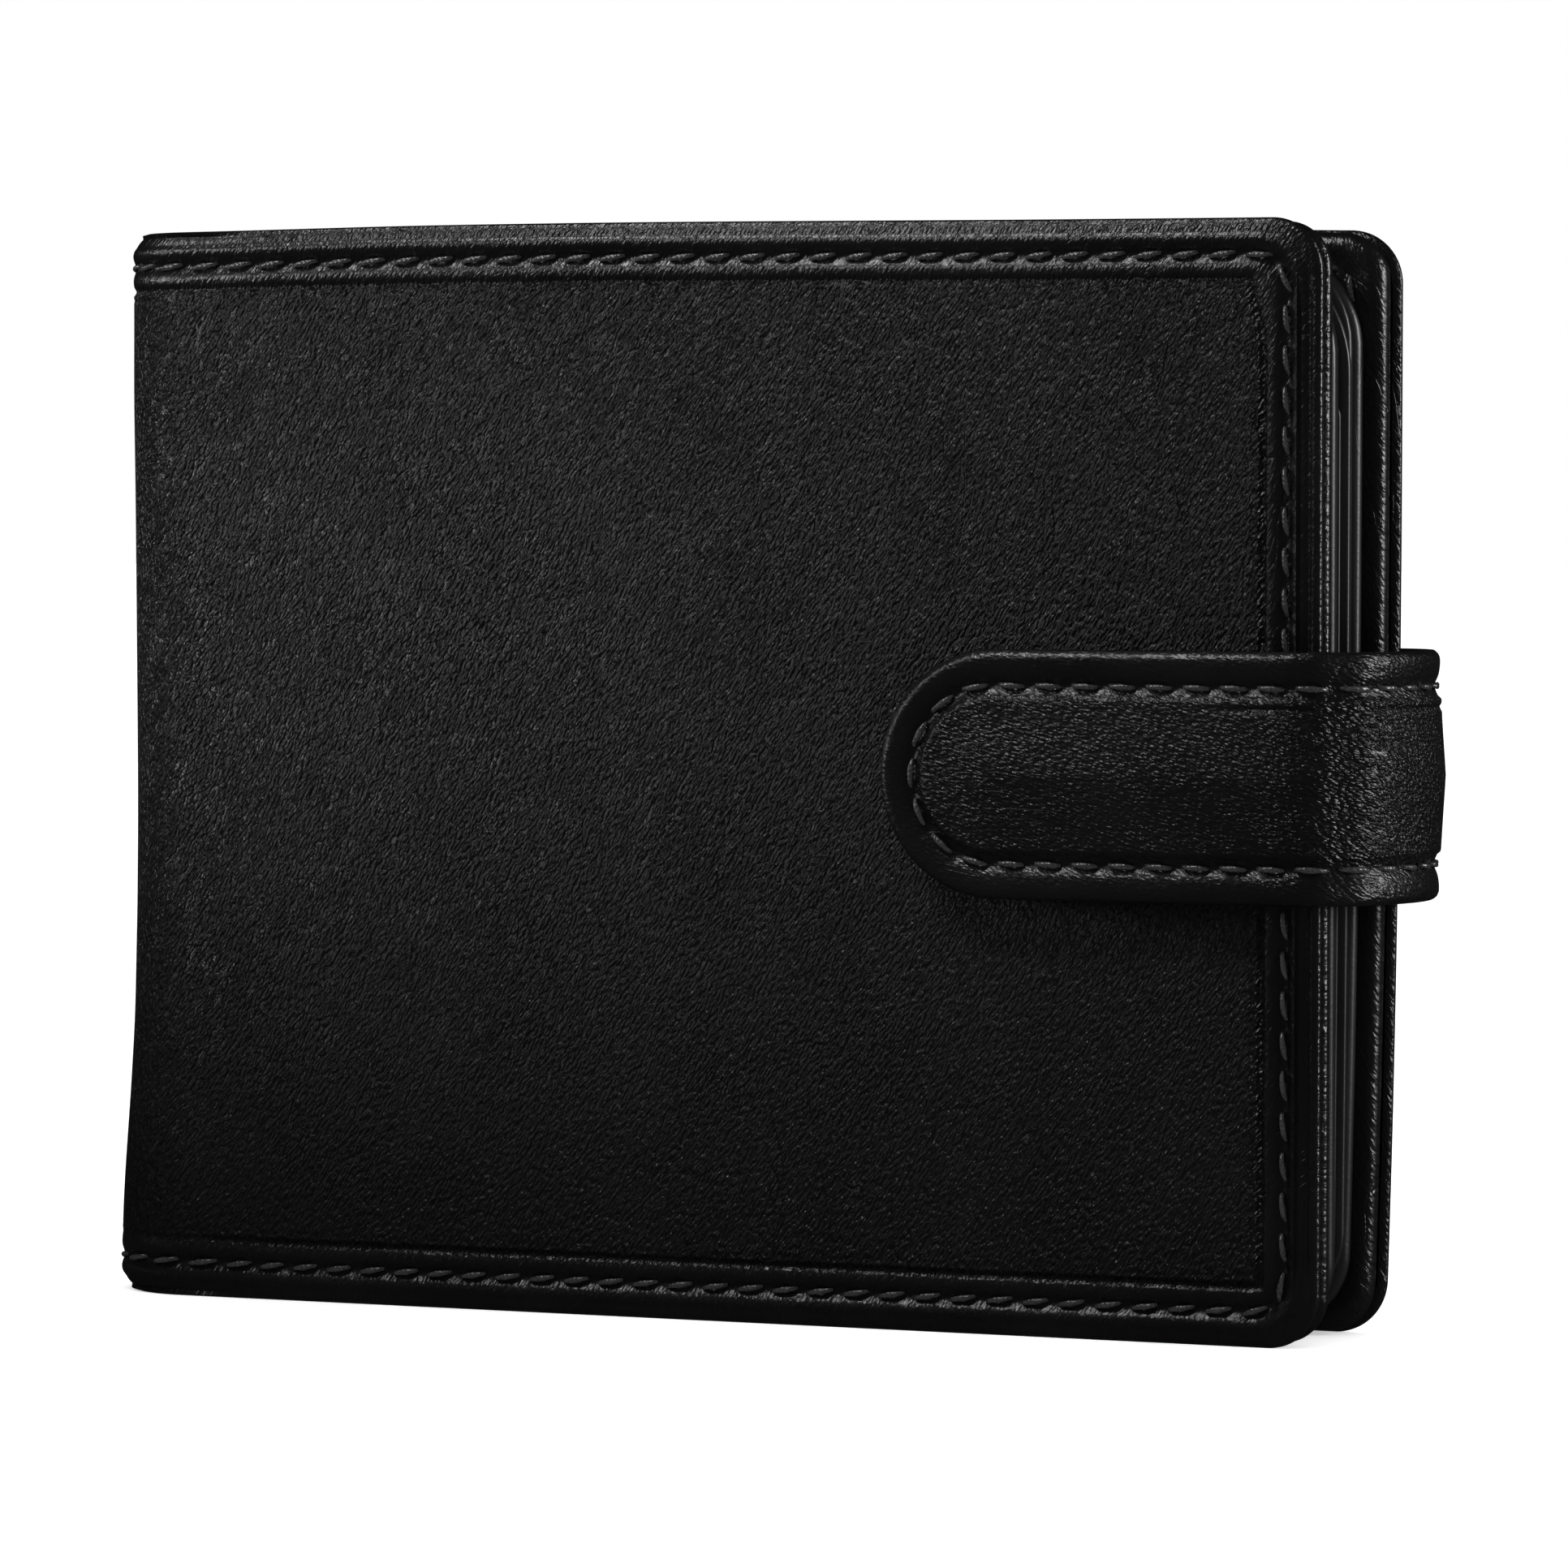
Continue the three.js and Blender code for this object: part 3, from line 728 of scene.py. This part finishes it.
# heights and depths in the cover's face, where a stitch hole deepens the sewn channel by PUCKER
BEAD, CHANNEL, PUCKER, GROOVE, EDGE_STEP = 0.24, 0.36, 0.14, 0.40, 0.40
GROOVE_INSET = 5.05
EDGE_WALL = (2.0, 1.84)  # the insets where the step down towards the free edge starts and ends
FOLD_COS, FOLD_SIN = 0.5, 0.866
SPINE_DROP, SPINE_STITCH_DROP = 0.55, 0.26


def off_spine(u):
    """0 on the spine's middle line, 1 from 12 mm away from it."""
    return smooth(U_START + 1, U_START + 12, u)


def spine_drop(u):
    """The cover curves in a little before the spine's bend begins."""
    return 1 - smooth(BEND_X - 2, BEND_X + 9, u)


def cover_drop(u):
    """How much lower the stitches lie near the spine."""
    return SPINE_DROP * spine_drop(u) + SPINE_STITCH_DROP * (1 - off_spine(u))


def cover_relief(inset, along, u, v, side):
    """How far the cover's face stands out from its plain level: the bead along the edge, the sewn
    channel, the pressed line inside it, then the body's swell and its fine folds."""
    near_spine = 1 - smooth(U_START + 8, U_START + 24, u)
    low_side = 1 - smooth(0.2, 0.5, v / HEIGHT)
    fade = 1 - 0.85 * near_spine * low_side
    sunk = 0.45 + 0.55 * off_spine(u)
    pucker = hump(holes(along, COVER_STEP), 0, 0.42)
    relief = BEAD * hump(inset, 1.75, 0.65) * smooth(1.1, 1.45, inset)
    relief = relief - (CHANNEL + PUCKER * pucker) * hump(inset, STITCH_INSET, 0.60)
    relief = relief + 0.06 * hump(inset, 4.0, 0.45) * (1 - 0.5 * pucker)
    relief = relief * sunk
    ends = smooth(3, 8, np.minimum(v, HEIGHT - v))
    from_edge = FREE - u
    wall = smooth(*EDGE_WALL, from_edge) * smooth(0.5, 1.1, from_edge)
    relief = relief - EDGE_STEP * ends * wall
    leaning = 1.2 * smooth(HEIGHT - 10.5, HEIGHT - 5, v)
    squarer = np.minimum(np.minimum(FREE - leaning - u, HEIGHT - v), v)
    relief = relief - fade * sunk * GROOVE * hump(squarer, GROOVE_INSET, 0.30)
    relief = relief + fade * 0.05 * hump(squarer, GROOVE_INSET + 0.45, 0.15)
    relief = relief - fade * 0.06 * hump(squarer, GROOVE_INSET + 0.75, 0.16)
    body = smooth(5.2, 16, inset)
    sheet_u = side * (u - U_START)
    broad = smooth(U_START, U_START + 12, u) * wander(sheet_u + 7, v, 26, 3 + side)
    relief = relief + body * (0.10 + 0.16 * broad + 0.03 * wander(sheet_u, v, 7, 11))
    relief = relief - SPINE_DROP * spine_drop(u)
    along_fold = sheet_u * FOLD_COS - v * FOLD_SIN
    across_fold = sheet_u * FOLD_SIN + v * FOLD_COS
    patches = smooth(-0.1, 0.6, wander(sheet_u, v, 17, 23))
    folds = wander(across_fold, along_fold / 3.2, 1.7, 29)
    return relief + 0.022 * body * patches * folds


def cover_outer(side):
    """The cover's outer face. The front one has a flat seat under the press stud."""
    def level(inset, along, u, v):
        relief = cover_relief(inset, along, u, v, side)
        if side == FRONT:
            from_stud = np.hypot(u - STUD_X, v - STRAP_Z)
            seat = 1 - smooth(5.2, 8.5, from_stud)
            relief = relief * (1 - seat) - 0.12 * (1 - smooth(4.9, 5.5, from_stud))
        return HALF_THICK - round_off(inset, ROLL_DEPTH, ROLL) + relief
    return level


# the narrow step gets grid lines of its own
u_lines = lines(U_START + 0.05, FREE - COVER_D0, FINE, COARSE, 0, COVER_BAND)
wall_lines = FREE - np.linspace(*EDGE_WALL, 5)
clear = np.abs(u_lines[:, None] - wall_lines).min(axis=1) > 0.03
u_lines = np.concatenate([[U_START], np.sort(np.concatenate([u_lines[clear], wall_lines]))])
v_lines = lines(COVER_D0, HEIGHT - COVER_D0, FINE, COARSE, COVER_BAND, COVER_BAND)
covers, stitch_rows = {}, {}
for side, word in SIDES:
    covers[side] = layer_mesh(f"{word}_cover_shell", COVER_OUTLINE, wallet_place, side, u_lines,
                              v_lines, cover_outer(side), roll_edge(COVER_MID, ROLL, ROLL_DEPTH),
                              COVER_LEATHER)
    spots = edge_spots(COVER_OUTLINE, HALF_THICK - 0.04, -side * SLANT, drop=cover_drop)
    stitch_rows[side] = stitches(f"{word}_cover_stitches", spots, side)
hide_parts("front_cover")
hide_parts("rear_cover", "spine_cover")
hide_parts("front_cover_thread", "spine_thread_top")
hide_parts("rear_cover_thread", "spine_thread_bottom")

# ------------ strap
STRAP_OUTLINE = Outline(0, FREE - TIP_X + FLAP_START, -STRAP_HALF, STRAP_HALF,
                        (STRAP_HALF, STRAP_HALF, 0, 0), STRAP_HALF, cut=True)
BASE_OUTLINE = Outline(0, FREE - BASE_X + FLAP_START, -STRAP_HALF, STRAP_HALF, (2, 2, 0, 0), 5.0,
                       cut=True)
STRAP_TOP, STRAP_ROLL, STRAP_DEPTH = STRAP_THICK - 0.35, 0.66, 0.8
STRAP_SEAM = 1.05
STRAP_HOLLOW = 0.62
STRAP_FINE = 0.22
LINING_IN_BY, LINING_ROUND = 0.25, 0.48
SNAP_HOLE = 0.86


def strap_outer(outline):
    """The strap's outer face: a rolled rim, the sewn channel and the padded middle."""
    step = stitch_step(outline)

    def level(inset, along, u, v):
        pucker = hump(holes(along, step), 0, 0.42)
        relief = 0.18 * hump(inset, 1.0, 1.1)
        relief = relief - (0.34 + 0.12 * pucker) * hump(inset, STITCH_INSET, 0.60)
        relief = relief + 0.30 * smooth(3.75, 4.1, inset) + 0.60 * smooth(2.0, 13.5, inset)
        line = (1 - smooth(FLAP_START + 2, FLAP_START + 12, u)) * smooth(0, 1, v)
        relief = relief - 0.26 * line * hump(inset, 4.75, 0.22)
        relief = relief + 0.05 * smooth(4, 6, inset) * wander(u + 3, v, 9, 41)
        return STRAP_TOP - round_off(inset, STRAP_DEPTH, STRAP_ROLL) + relief
    return level


def strap_hollow(inset, along, u, v):
    """The room for the filler behind the strap's skin."""
    return STRAP_HOLLOW * smooth(1.6, 2.4, inset)


def bent_grain(u):
    """The leather's grain opens up where the strap is bent."""
    return 1 + 1.1 * (1 - smooth(FLAP_START - 1, FLAP_START + 5, u))


def bend_drop(u):
    """How much lower the stitches lie round the strap's bend."""
    return 0.16 * (1 - smooth(BRIDGE_END - 3, FLAP_START, u))


def strap_lining_face(side):
    """The strap's inner face. On the flap it has a round hole for the press stud's socket."""
    def face(inset, along, u, v):
        level = 0.02 + round_off(inset, LINING_ROUND, LINING_ROUND)
        level = level + 0.14 * hump(inset, STITCH_INSET - LINING_IN_BY, 0.5)
        if side == FRONT:
            from_snap = np.hypot(FREE + FLAP_START - u - STUD_X, v)
            level = level + SNAP_HOLE * (1 - smooth(4.75, 5.05, from_snap))
        return level
    return face


def strap_grid(outline, first):
    """Grid lines along and across one of the strap's layers."""
    along = lines(0.05, outline.u1 - first, STRAP_FINE, STRAP_FINE * 1.2, 0, 8)
    across = lines(outline.v0 + first, outline.v1 - first, STRAP_FINE, STRAP_FINE, 0, 0)
    return np.concatenate([[0], along]), across


def strap_half(side, word, outline):
    """The strap from the middle of its bridge to one end: skin, stitches, lining, its stitches."""
    rolls = roll_edge(STRAP_TOP - STRAP_ROLL, STRAP_ROLL, STRAP_DEPTH, 35, -50, 6)
    rolls += [(0.7, STRAP_SEAM + 0.06), (0.95, STRAP_SEAM)]
    skin = layer_mesh(f"{word}_skin", outline, strap_place, side,
                      *strap_grid(outline, first_line(STRAP_DEPTH)), strap_outer(outline), rolls,
                      TAB_LEATHER, fine_inner=strap_hollow, plain=(3.4, 4.0, 0.4),
                      more=bent_grain)
    spots = edge_spots(outline, STRAP_TOP + 0.02, -side * SLANT * 0.4, drop=bend_drop)
    sewn = stitches(f"{word}_stitches", spots, side, place=strap_place)
    radii = [max(0, corner[4] - LINING_IN_BY) for corner in outline.corners]
    inner = Outline(0, outline.u1 - LINING_IN_BY, -STRAP_HALF + LINING_IN_BY,
                    STRAP_HALF - LINING_IN_BY, (*radii, 0, 0), outline.square - LINING_IN_BY,
                    cut=True)
    lining = layer_mesh(f"{word}_lining_skin", inner, strap_place, side,
                        *strap_grid(inner, first_line(LINING_ROUND)), strap_lining_face(side),
                        roll_edge(0.5, -LINING_ROUND), INNER_LEATHER)
    back_sewn = stitches(f"{word}_back_stitches", edge_spots(outline, 0.12, -SLANT), side, -0.22,
                         strap_place)
    return skin, sewn, lining, back_sewn


strap_parts = {FRONT: strap_half(FRONT, "tab_flap", STRAP_OUTLINE),
               REAR: strap_half(REAR, "tab_base", BASE_OUTLINE)}
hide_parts("tab_flap_leather", "tab_bridge_leather")
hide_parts("tab_base_leather")
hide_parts("tab_flap_thread", "tab_bridge_thread_top")
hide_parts("tab_base_thread", "tab_bridge_thread_bottom")
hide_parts("tab_flap_lining", "tab_bridge_lining")
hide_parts("tab_base_lining")


# ------------ inner layers of the two halves
def sheet_face(level, back, relief=None):
    """The fine face of a thin sheet with rounded edges, from its level to its back's level."""
    half = (level - back) / 2

    def face(inset, along, u, v):
        drop = math.copysign(1, half) * round_off(inset, abs(half), abs(half))
        raised = 0 if relief is None else math.copysign(1, half) * relief(inset, along, u, v)
        return level - drop + raised
    return face


def thin_sheet(name, outline, side, level, back, material, relief=None, band=5.0,
               fine=0.5, border=None):
    """A thin layer between two levels, with a grid that is fine within band mm of its edges."""
    half = (level - back) / 2
    d0 = first_line(abs(half))
    fine, coarse = ((fine, 1.2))
    if outline.cut:
        u_rows = np.concatenate([[outline.u0], lines(outline.u0 + 0.05, outline.u1 - d0, fine,
                                                     coarse, 0, band)])
    else:
        u_rows = lines(outline.u0 + d0, outline.u1 - d0, fine, coarse, band, band)
    v_rows = lines(outline.v0 + d0, outline.v1 - d0, fine, coarse, band, band)
    piece = layer_mesh(name, outline, wallet_place, side, u_rows, v_rows,
                       sheet_face(level, back, relief),
                       roll_edge((level + back) / 2, half, steps=5), material, coarse=3,
                       border=border)
    return piece


def turned_edge(step):
    """A folded and sewn edge: thicker border, stitch channel and a creased line inside it."""
    def relief(inset, along, u, v):
        pucker = hump(holes(along, step), 0, 0.45)
        return (0.05 * hump(inset, 1.2, 0.7) - (0.10 + 0.06 * pucker) * hump(inset, 3, 0.6)
                - 0.06 * hump(inset, 5, 0.35) + 0.03 * wander(u, v, 13, 51))
    return relief


def creased(inset, along, u, v):
    """A cut edge with a line pressed beside it."""
    return (0.03 * hump(inset, 0.9, 0.5) - 0.07 * hump(inset, 2.0, 0.3)
            + 0.03 * wander(u + 20, v, 15, 57))


HEM_IN = 0.25
HEM_WIDTH = 7.0


def hemmed(inset, along, u, v):
    """The cover's leather turned in over the lining and stitched down."""
    ends = smooth(9, 4, np.minimum(v, HEIGHT - v))
    hem = 0.22 * ends * hump(inset, 1.1, 0.7) + 0.16 * (1 - smooth(6.8, 7.2, inset))
    return (hem - 0.20 * hump(inset, STITCH_INSET - HEM_IN, 0.55) + 0.03 * wander(u, v, 9, 61)
            + 0.03 * (1 - smooth(3, 6, inset)) * wander(u, v, 0.9, 67))


def node_face(node_name, corners, square, short=0):
    """The outline of a node's face, and the node's low and high y."""
    low, high = node_box(node_name)
    return Outline(low[0], high[0] - short, low[2], high[2], corners, square), low[1], high[1]


def card_pocket(name, node_name, side, body, short=0):
    """One card pocket in the place of its CAD node, ending short mm before it."""
    outline, *levels = node_face(node_name, (5, 1.2, 1.2, 2), 6.0, short)
    level, back = sorted(map(abs, levels), reverse=body == "centre_leaf")
    pocket = thin_sheet(name, outline, side, level, back, INNER_LEATHER, creased,
                        band=3.0, fine=0.35)
    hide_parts(node_name)
    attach(pocket, body)
    return outline, level


PANEL_SHORT = 1.5
shared = {}
PANEL_FACE, PANEL_BACK = [-corner[1] for corner in node_box("front_inner_panel")[::-1]]
LINING_IN, LINING_OUT = [-corner[1] for corner in node_box("front_note_lining")[::-1]]
for side, word in SIDES:
    short = PANEL_SHORT if side == REAR else 0
    outline = Outline(U_START, FREE - HEM_IN, HEM_IN, HEIGHT - HEM_IN, (4, 4, 0, 0), 9.0, cut=True)
    lining = thin_sheet(f"{word}_lining_sheet", outline, side, LINING_IN, LINING_OUT, WEAVE,
                        hemmed, band=9.0, fine=0.4,
                        border=(HEM_WIDTH, COVER_LEATHER))
    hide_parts(f"{word}_note_lining")
    seam = stitches(f"{word}_lining_stitches",
                    edge_spots(COVER_OUTLINE, LINING_IN - 0.14, -SLANT), side, -0.24)

    low, high = node_box(f"{word}_inner_panel")
    outline = Outline(U_START, high[0] - short, low[2], high[2], (6, 10 - short, 0, 0), 12.0,
                      cut=True)
    panel = thin_sheet(f"{word}_panel_skin", outline, side, PANEL_FACE, PANEL_BACK, INNER_LEATHER,
                       turned_edge(stitch_step(outline)), band=6.0, fine=0.4)
    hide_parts(f"{word}_inner_panel")
    over_pockets = node_box(f"{word}_card_pocket_1")[1][2] + 1
    spots = edge_spots(outline, PANEL_FACE + 0.06, -SLANT,
                       keep=lambda u, v: v > over_pockets or u < BEND_X + 4)
    panel_sewn = stitches(f"{word}_panel_stitches", spots, side, -0.22)
    shared[side] = [lining, seam, panel, panel_sewn]

    for number in (1, 2, 3):
        outline, level = card_pocket(f"{word}_pocket_{number}", f"{word}_card_pocket_{number}",
                                     side, f"{word}_half", short)
    spots = edge_spots(outline, level + 0.03, -SLANT, keep=lambda u, v: v < outline.v1 - 2.5)
    pocket_sewn = stitches(f"{word}_pocket_stitches", spots, side, -0.2)
    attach(pocket_sewn, f"{word}_half")
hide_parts("spine_note_lining")
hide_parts("spine_gusset")

# ------------ the centre leaf
outline, low, high = node_face("leaf_panel", (6, 11, 2, 2), 12.0)
leaf = thin_sheet("leaf_panel_skin", outline, FRONT, high, low, INNER_LEATHER,
                  turned_edge(stitch_step(outline)), band=6.0, fine=0.4)
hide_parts("leaf_panel")
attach(leaf, "centre_leaf")
for number in (1, 2):
    card_pocket(f"leaf_pocket_{number}", f"leaf_card_pocket_{number}", FRONT, "centre_leaf")
outline, low, high = node_face("leaf_window_film", (2, 2, 2, 2), 6.0)
film = thin_sheet("leaf_film_sheet", outline, REAR, high, low, FILM,
                  lambda d, along, u, v: 0.03 * wander(u, v, 14, 71))
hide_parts("leaf_window_film")
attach(film, "centre_leaf")


def window_frame(name, outer, inner, low, high, side, material):
    """A flat frame between two outlines, with rounded edges and two creased lines."""
    per_span = 14
    fractions = (np.arange(per_span) + 0.5) / per_span
    rims = []
    for outline in (outer, inner):
        rim, start = [], 0
        for _, size in outline.spans(STITCH_INSET):
            rim += [outline.edge_point(start + f * size, 0.0) for f in fractions]
            start += size
        rims.append(np.stack(outline.rounded(*np.array(rim).T), -1))
    mid, half = (low + high) / 2, (high - low) / 2
    gap = np.linalg.norm(rims[0] - rims[1], axis=1).mean()
    section = [(half * (1 - math.cos(a)) / gap, mid + half * math.sin(a))
               for a in np.radians(np.linspace(-90, 90, 9))]
    section += [(f, high - 0.12 * hump(f, 0.2, 0.05) - 0.12 * hump(f, 0.8, 0.05))
                for f in np.linspace(0.12, 0.88, 33)]
    section += [(1 - half * (1 - math.cos(a)) / gap, mid + half * math.sin(a))
                for a in np.radians(np.linspace(90, -90, 9))]
    count = len(rims[0])
    points, uvs = [], []
    for share, level in section:
        flat = rims[0] * (1 - share) + rims[1] * share
        points.append(wallet_place(flat[:, 0], flat[:, 1], np.full(count, level), side))
        uvs.append(flat)
    faces = ring_faces(len(section), count, closed=True)
    return make_object(name, np.concatenate(points), faces, np.concatenate(uvs), material)


outer, low, high = node_face("leaf_window_frame", (6, 8, 2, 2), 10.0)
WINDOW = (-36, 42, 18, 78)  # the opening's low and high u, low and high v
inner = Outline(*WINDOW, (4, 4, 4, 4), 10.0)
window = window_frame("leaf_frame_skin", outer, inner, low, high, REAR, INNER_LEATHER)
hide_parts("leaf_window_frame")
leaf_sewn = stitches("leaf_stitches", edge_spots(outer, high - 0.05, SLANT), REAR, 0.2)
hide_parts("leaf_thread")
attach(window, "centre_leaf")
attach(leaf_sewn, "centre_leaf")


# ------------ press stud
def turned_part(name, profile, body, node_name):
    """A part turned on the stud's axis from pairs of radius and distance in front of y = 0. It is
    closed by end faces where the profile starts at the axis, and is a ring otherwise."""
    count = 64
    angles = np.arange(count) * 2 * math.pi / count
    points = [[STUD_X + r * math.cos(a), -y, STRAP_Z + r * math.sin(a)] for r, y in profile
              for a in angles]
    uvs = [[r * a, y] for r, y in profile for a in angles]
    faces = ring_faces(len(profile), count, closed=profile[0][0] > 0.05)
    piece = make_object(name, points, faces, uvs, METAL, 40)
    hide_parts(node_name)
    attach(piece, body)


STUD_PROFILE = [(0.04, 8.06), (4.75, 8.06), (4.98, 8.2), (5.0, 8.4), (4.85, 8.56), (4.5, 8.62),
                (3.0, 8.58), (2.3, 8.6), (1.75, 8.7), (1.6, 8.85), (1.68, 9.02), (1.85, 9.15),
                (1.8, 9.28), (1.6, 9.37), (1.2, 9.4), (0.04, 9.36)]
SOCKET_PROFILE = [(2.6, 9.3), (2.7, 9.14), (3.0, 9.07), (3.9, 9.12), (4.4, 9.09), (4.65, 9.2),
                  (4.7, 9.45), (4.68, 9.75), (4.5, 9.84), (2.4, 9.84), (2.3, 9.7), (2.5, 9.5)]
turned_part("snap_stud_turned", STUD_PROFILE, "front_half", "snap_stud")
turned_part("snap_socket_turned", SOCKET_PROFILE, "tab_flap", "snap_socket")


def bend_between(pieces):
    """Bakes each piece's placement into its mesh; nothing is bent."""
    for piece in pieces:
        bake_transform(piece)


for side, body, fold in ((FRONT, "front_half", "front_fold"), (REAR, "rear_half", "spine_fold")):
    bend_between([covers[side], stitch_rows[side]] + shared[side])
for side, body, bend in ((FRONT, "tab_flap", "tab_lift"), (REAR, "rear_half", "tab_swing")):
    bend_between(strap_parts[side])

# ------------ other finishes on CAD nodes
FINISHES = {"board": BOARD, "snap_metal": METAL}
for name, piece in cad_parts.items():
    if piece.hide_render:
        continue
    used = [m.name if m else "" for m in piece.data.materials]
    finish = next((FINISHES[k] for k in FINISHES if any(k in w for w in used)), STRIP_LEATHER)
    for index in range(len(piece.data.materials)):
        piece.data.materials[index] = finish

# ------------ floor, lights and camera
floor_mesh = bpy.data.meshes.new("floor")
floor_mesh.from_pydata([(-6, -6, 0), (6, -6, 0), (6, 6, 0), (-6, 6, 0)], [], [(0, 1, 2, 3)])
FLOOR, floor_tree, floor_shader = new_material("pale_floor")
set_inputs(floor_tree, floor_shader, {
    "Base Color": (0.93, 0.93, 0.93, 1),
    "Roughness": 0.9,
    "Emission Color": (1, 1, 1, 1),
    "Emission Strength": 0.45,
})
floor_mesh.materials.append(FLOOR)
floor = bpy.data.objects.new("floor", floor_mesh)
bpy.context.scene.collection.objects.link(floor)


def direction(azimuth, elevation):
    """The unit vector from the wallet. Azimuth 0 is straight in front of it."""
    a, e = math.radians(azimuth), math.radians(elevation)
    return Vector((math.sin(a) * math.cos(e), -math.cos(a) * math.cos(e), math.sin(e)))


def soft_light(name, azimuth, elevation, distance, wide, tall, power, aim=MIDDLE, spread=180):
    """A soft box that looks at the aim point."""
    towards = direction(azimuth, elevation)
    light = bpy.data.lights.new(name, "AREA")
    light.shape = "RECTANGLE"
    light.size, light.size_y = wide, tall
    light.energy = power
    light.spread = math.radians(spread)
    obj = bpy.data.objects.new(name, light)
    bpy.context.scene.collection.objects.link(obj)
    obj.location = Vector(aim) + towards * distance
    obj.rotation_euler = towards.to_track_quat("Z", "Y").to_euler()


# azimuth, elevation, distance, width, height, power, the point it looks at, and its spread
soft_light("key_low", -62, 4, 0.30, 0.05, 0.05, 0.0038, (-0.058, 0, 0.060), 14)
soft_light("key_high", -48, 14, 0.30, 0.08, 0.08, 0.0062, (-0.045, 0, 0.095), 22)
soft_light("key_top", -42, 24, 0.30, 0.08, 0.08, 0.0084, (0.03, 0, 0.125), 22)
soft_light("left_strip", -84, 6, 0.30, 0.08, 0.08, 0.0006, (-0.06, 0, 0.078), 22)
soft_light("overhead", -30, 55, 0.30, 0.12, 0.12, 0.025, (-0.01, 0, 0.12), 26)
soft_light("right_back", 108, 14, 0.8, 0.12, 0.40, 3.4)

# a white surrounding that hardly shows in the leather's gloss
world = bpy.data.worlds.new("studio")
bpy.context.scene.world = world
world.use_nodes = True
sky = world.node_tree.nodes["Background"]
glossy = node(world.node_tree, "ShaderNodeLightPath").outputs["Is Glossy Ray"]
strength = node(world.node_tree, "ShaderNodeMapRange", {"Value": glossy, "To Min": 1.0,
                                                        "To Max": 0.012}).outputs["Result"]
set_inputs(world.node_tree, sky, {"Strength": strength, "Color": (1, 1, 1, 1)})
floor.visible_glossy = False

AZIMUTH, ELEVATION, DISTANCE, LENS, TILT = 26.03, 1.96, 0.75, 201.3, 0.12
back = direction(AZIMUTH, ELEVATION)
right = direction(AZIMUTH + 90, 0)
up = back.cross(right)
aim = MIDDLE + right * 0.0023 - up * 0.0011
camera_data = bpy.data.cameras.new("camera")
camera_data.sensor_width = 36
camera_data.lens = LENS
camera = bpy.data.objects.new("camera", camera_data)
bpy.context.scene.collection.objects.link(camera)
camera.location = aim + back * DISTANCE
camera.rotation_euler = back.to_track_quat("Z", "Y").to_euler()
camera.rotation_euler.rotate_axis("Z", math.radians(TILT))
bpy.context.scene.camera = camera
bpy.context.scene.view_settings.view_transform = "Standard"
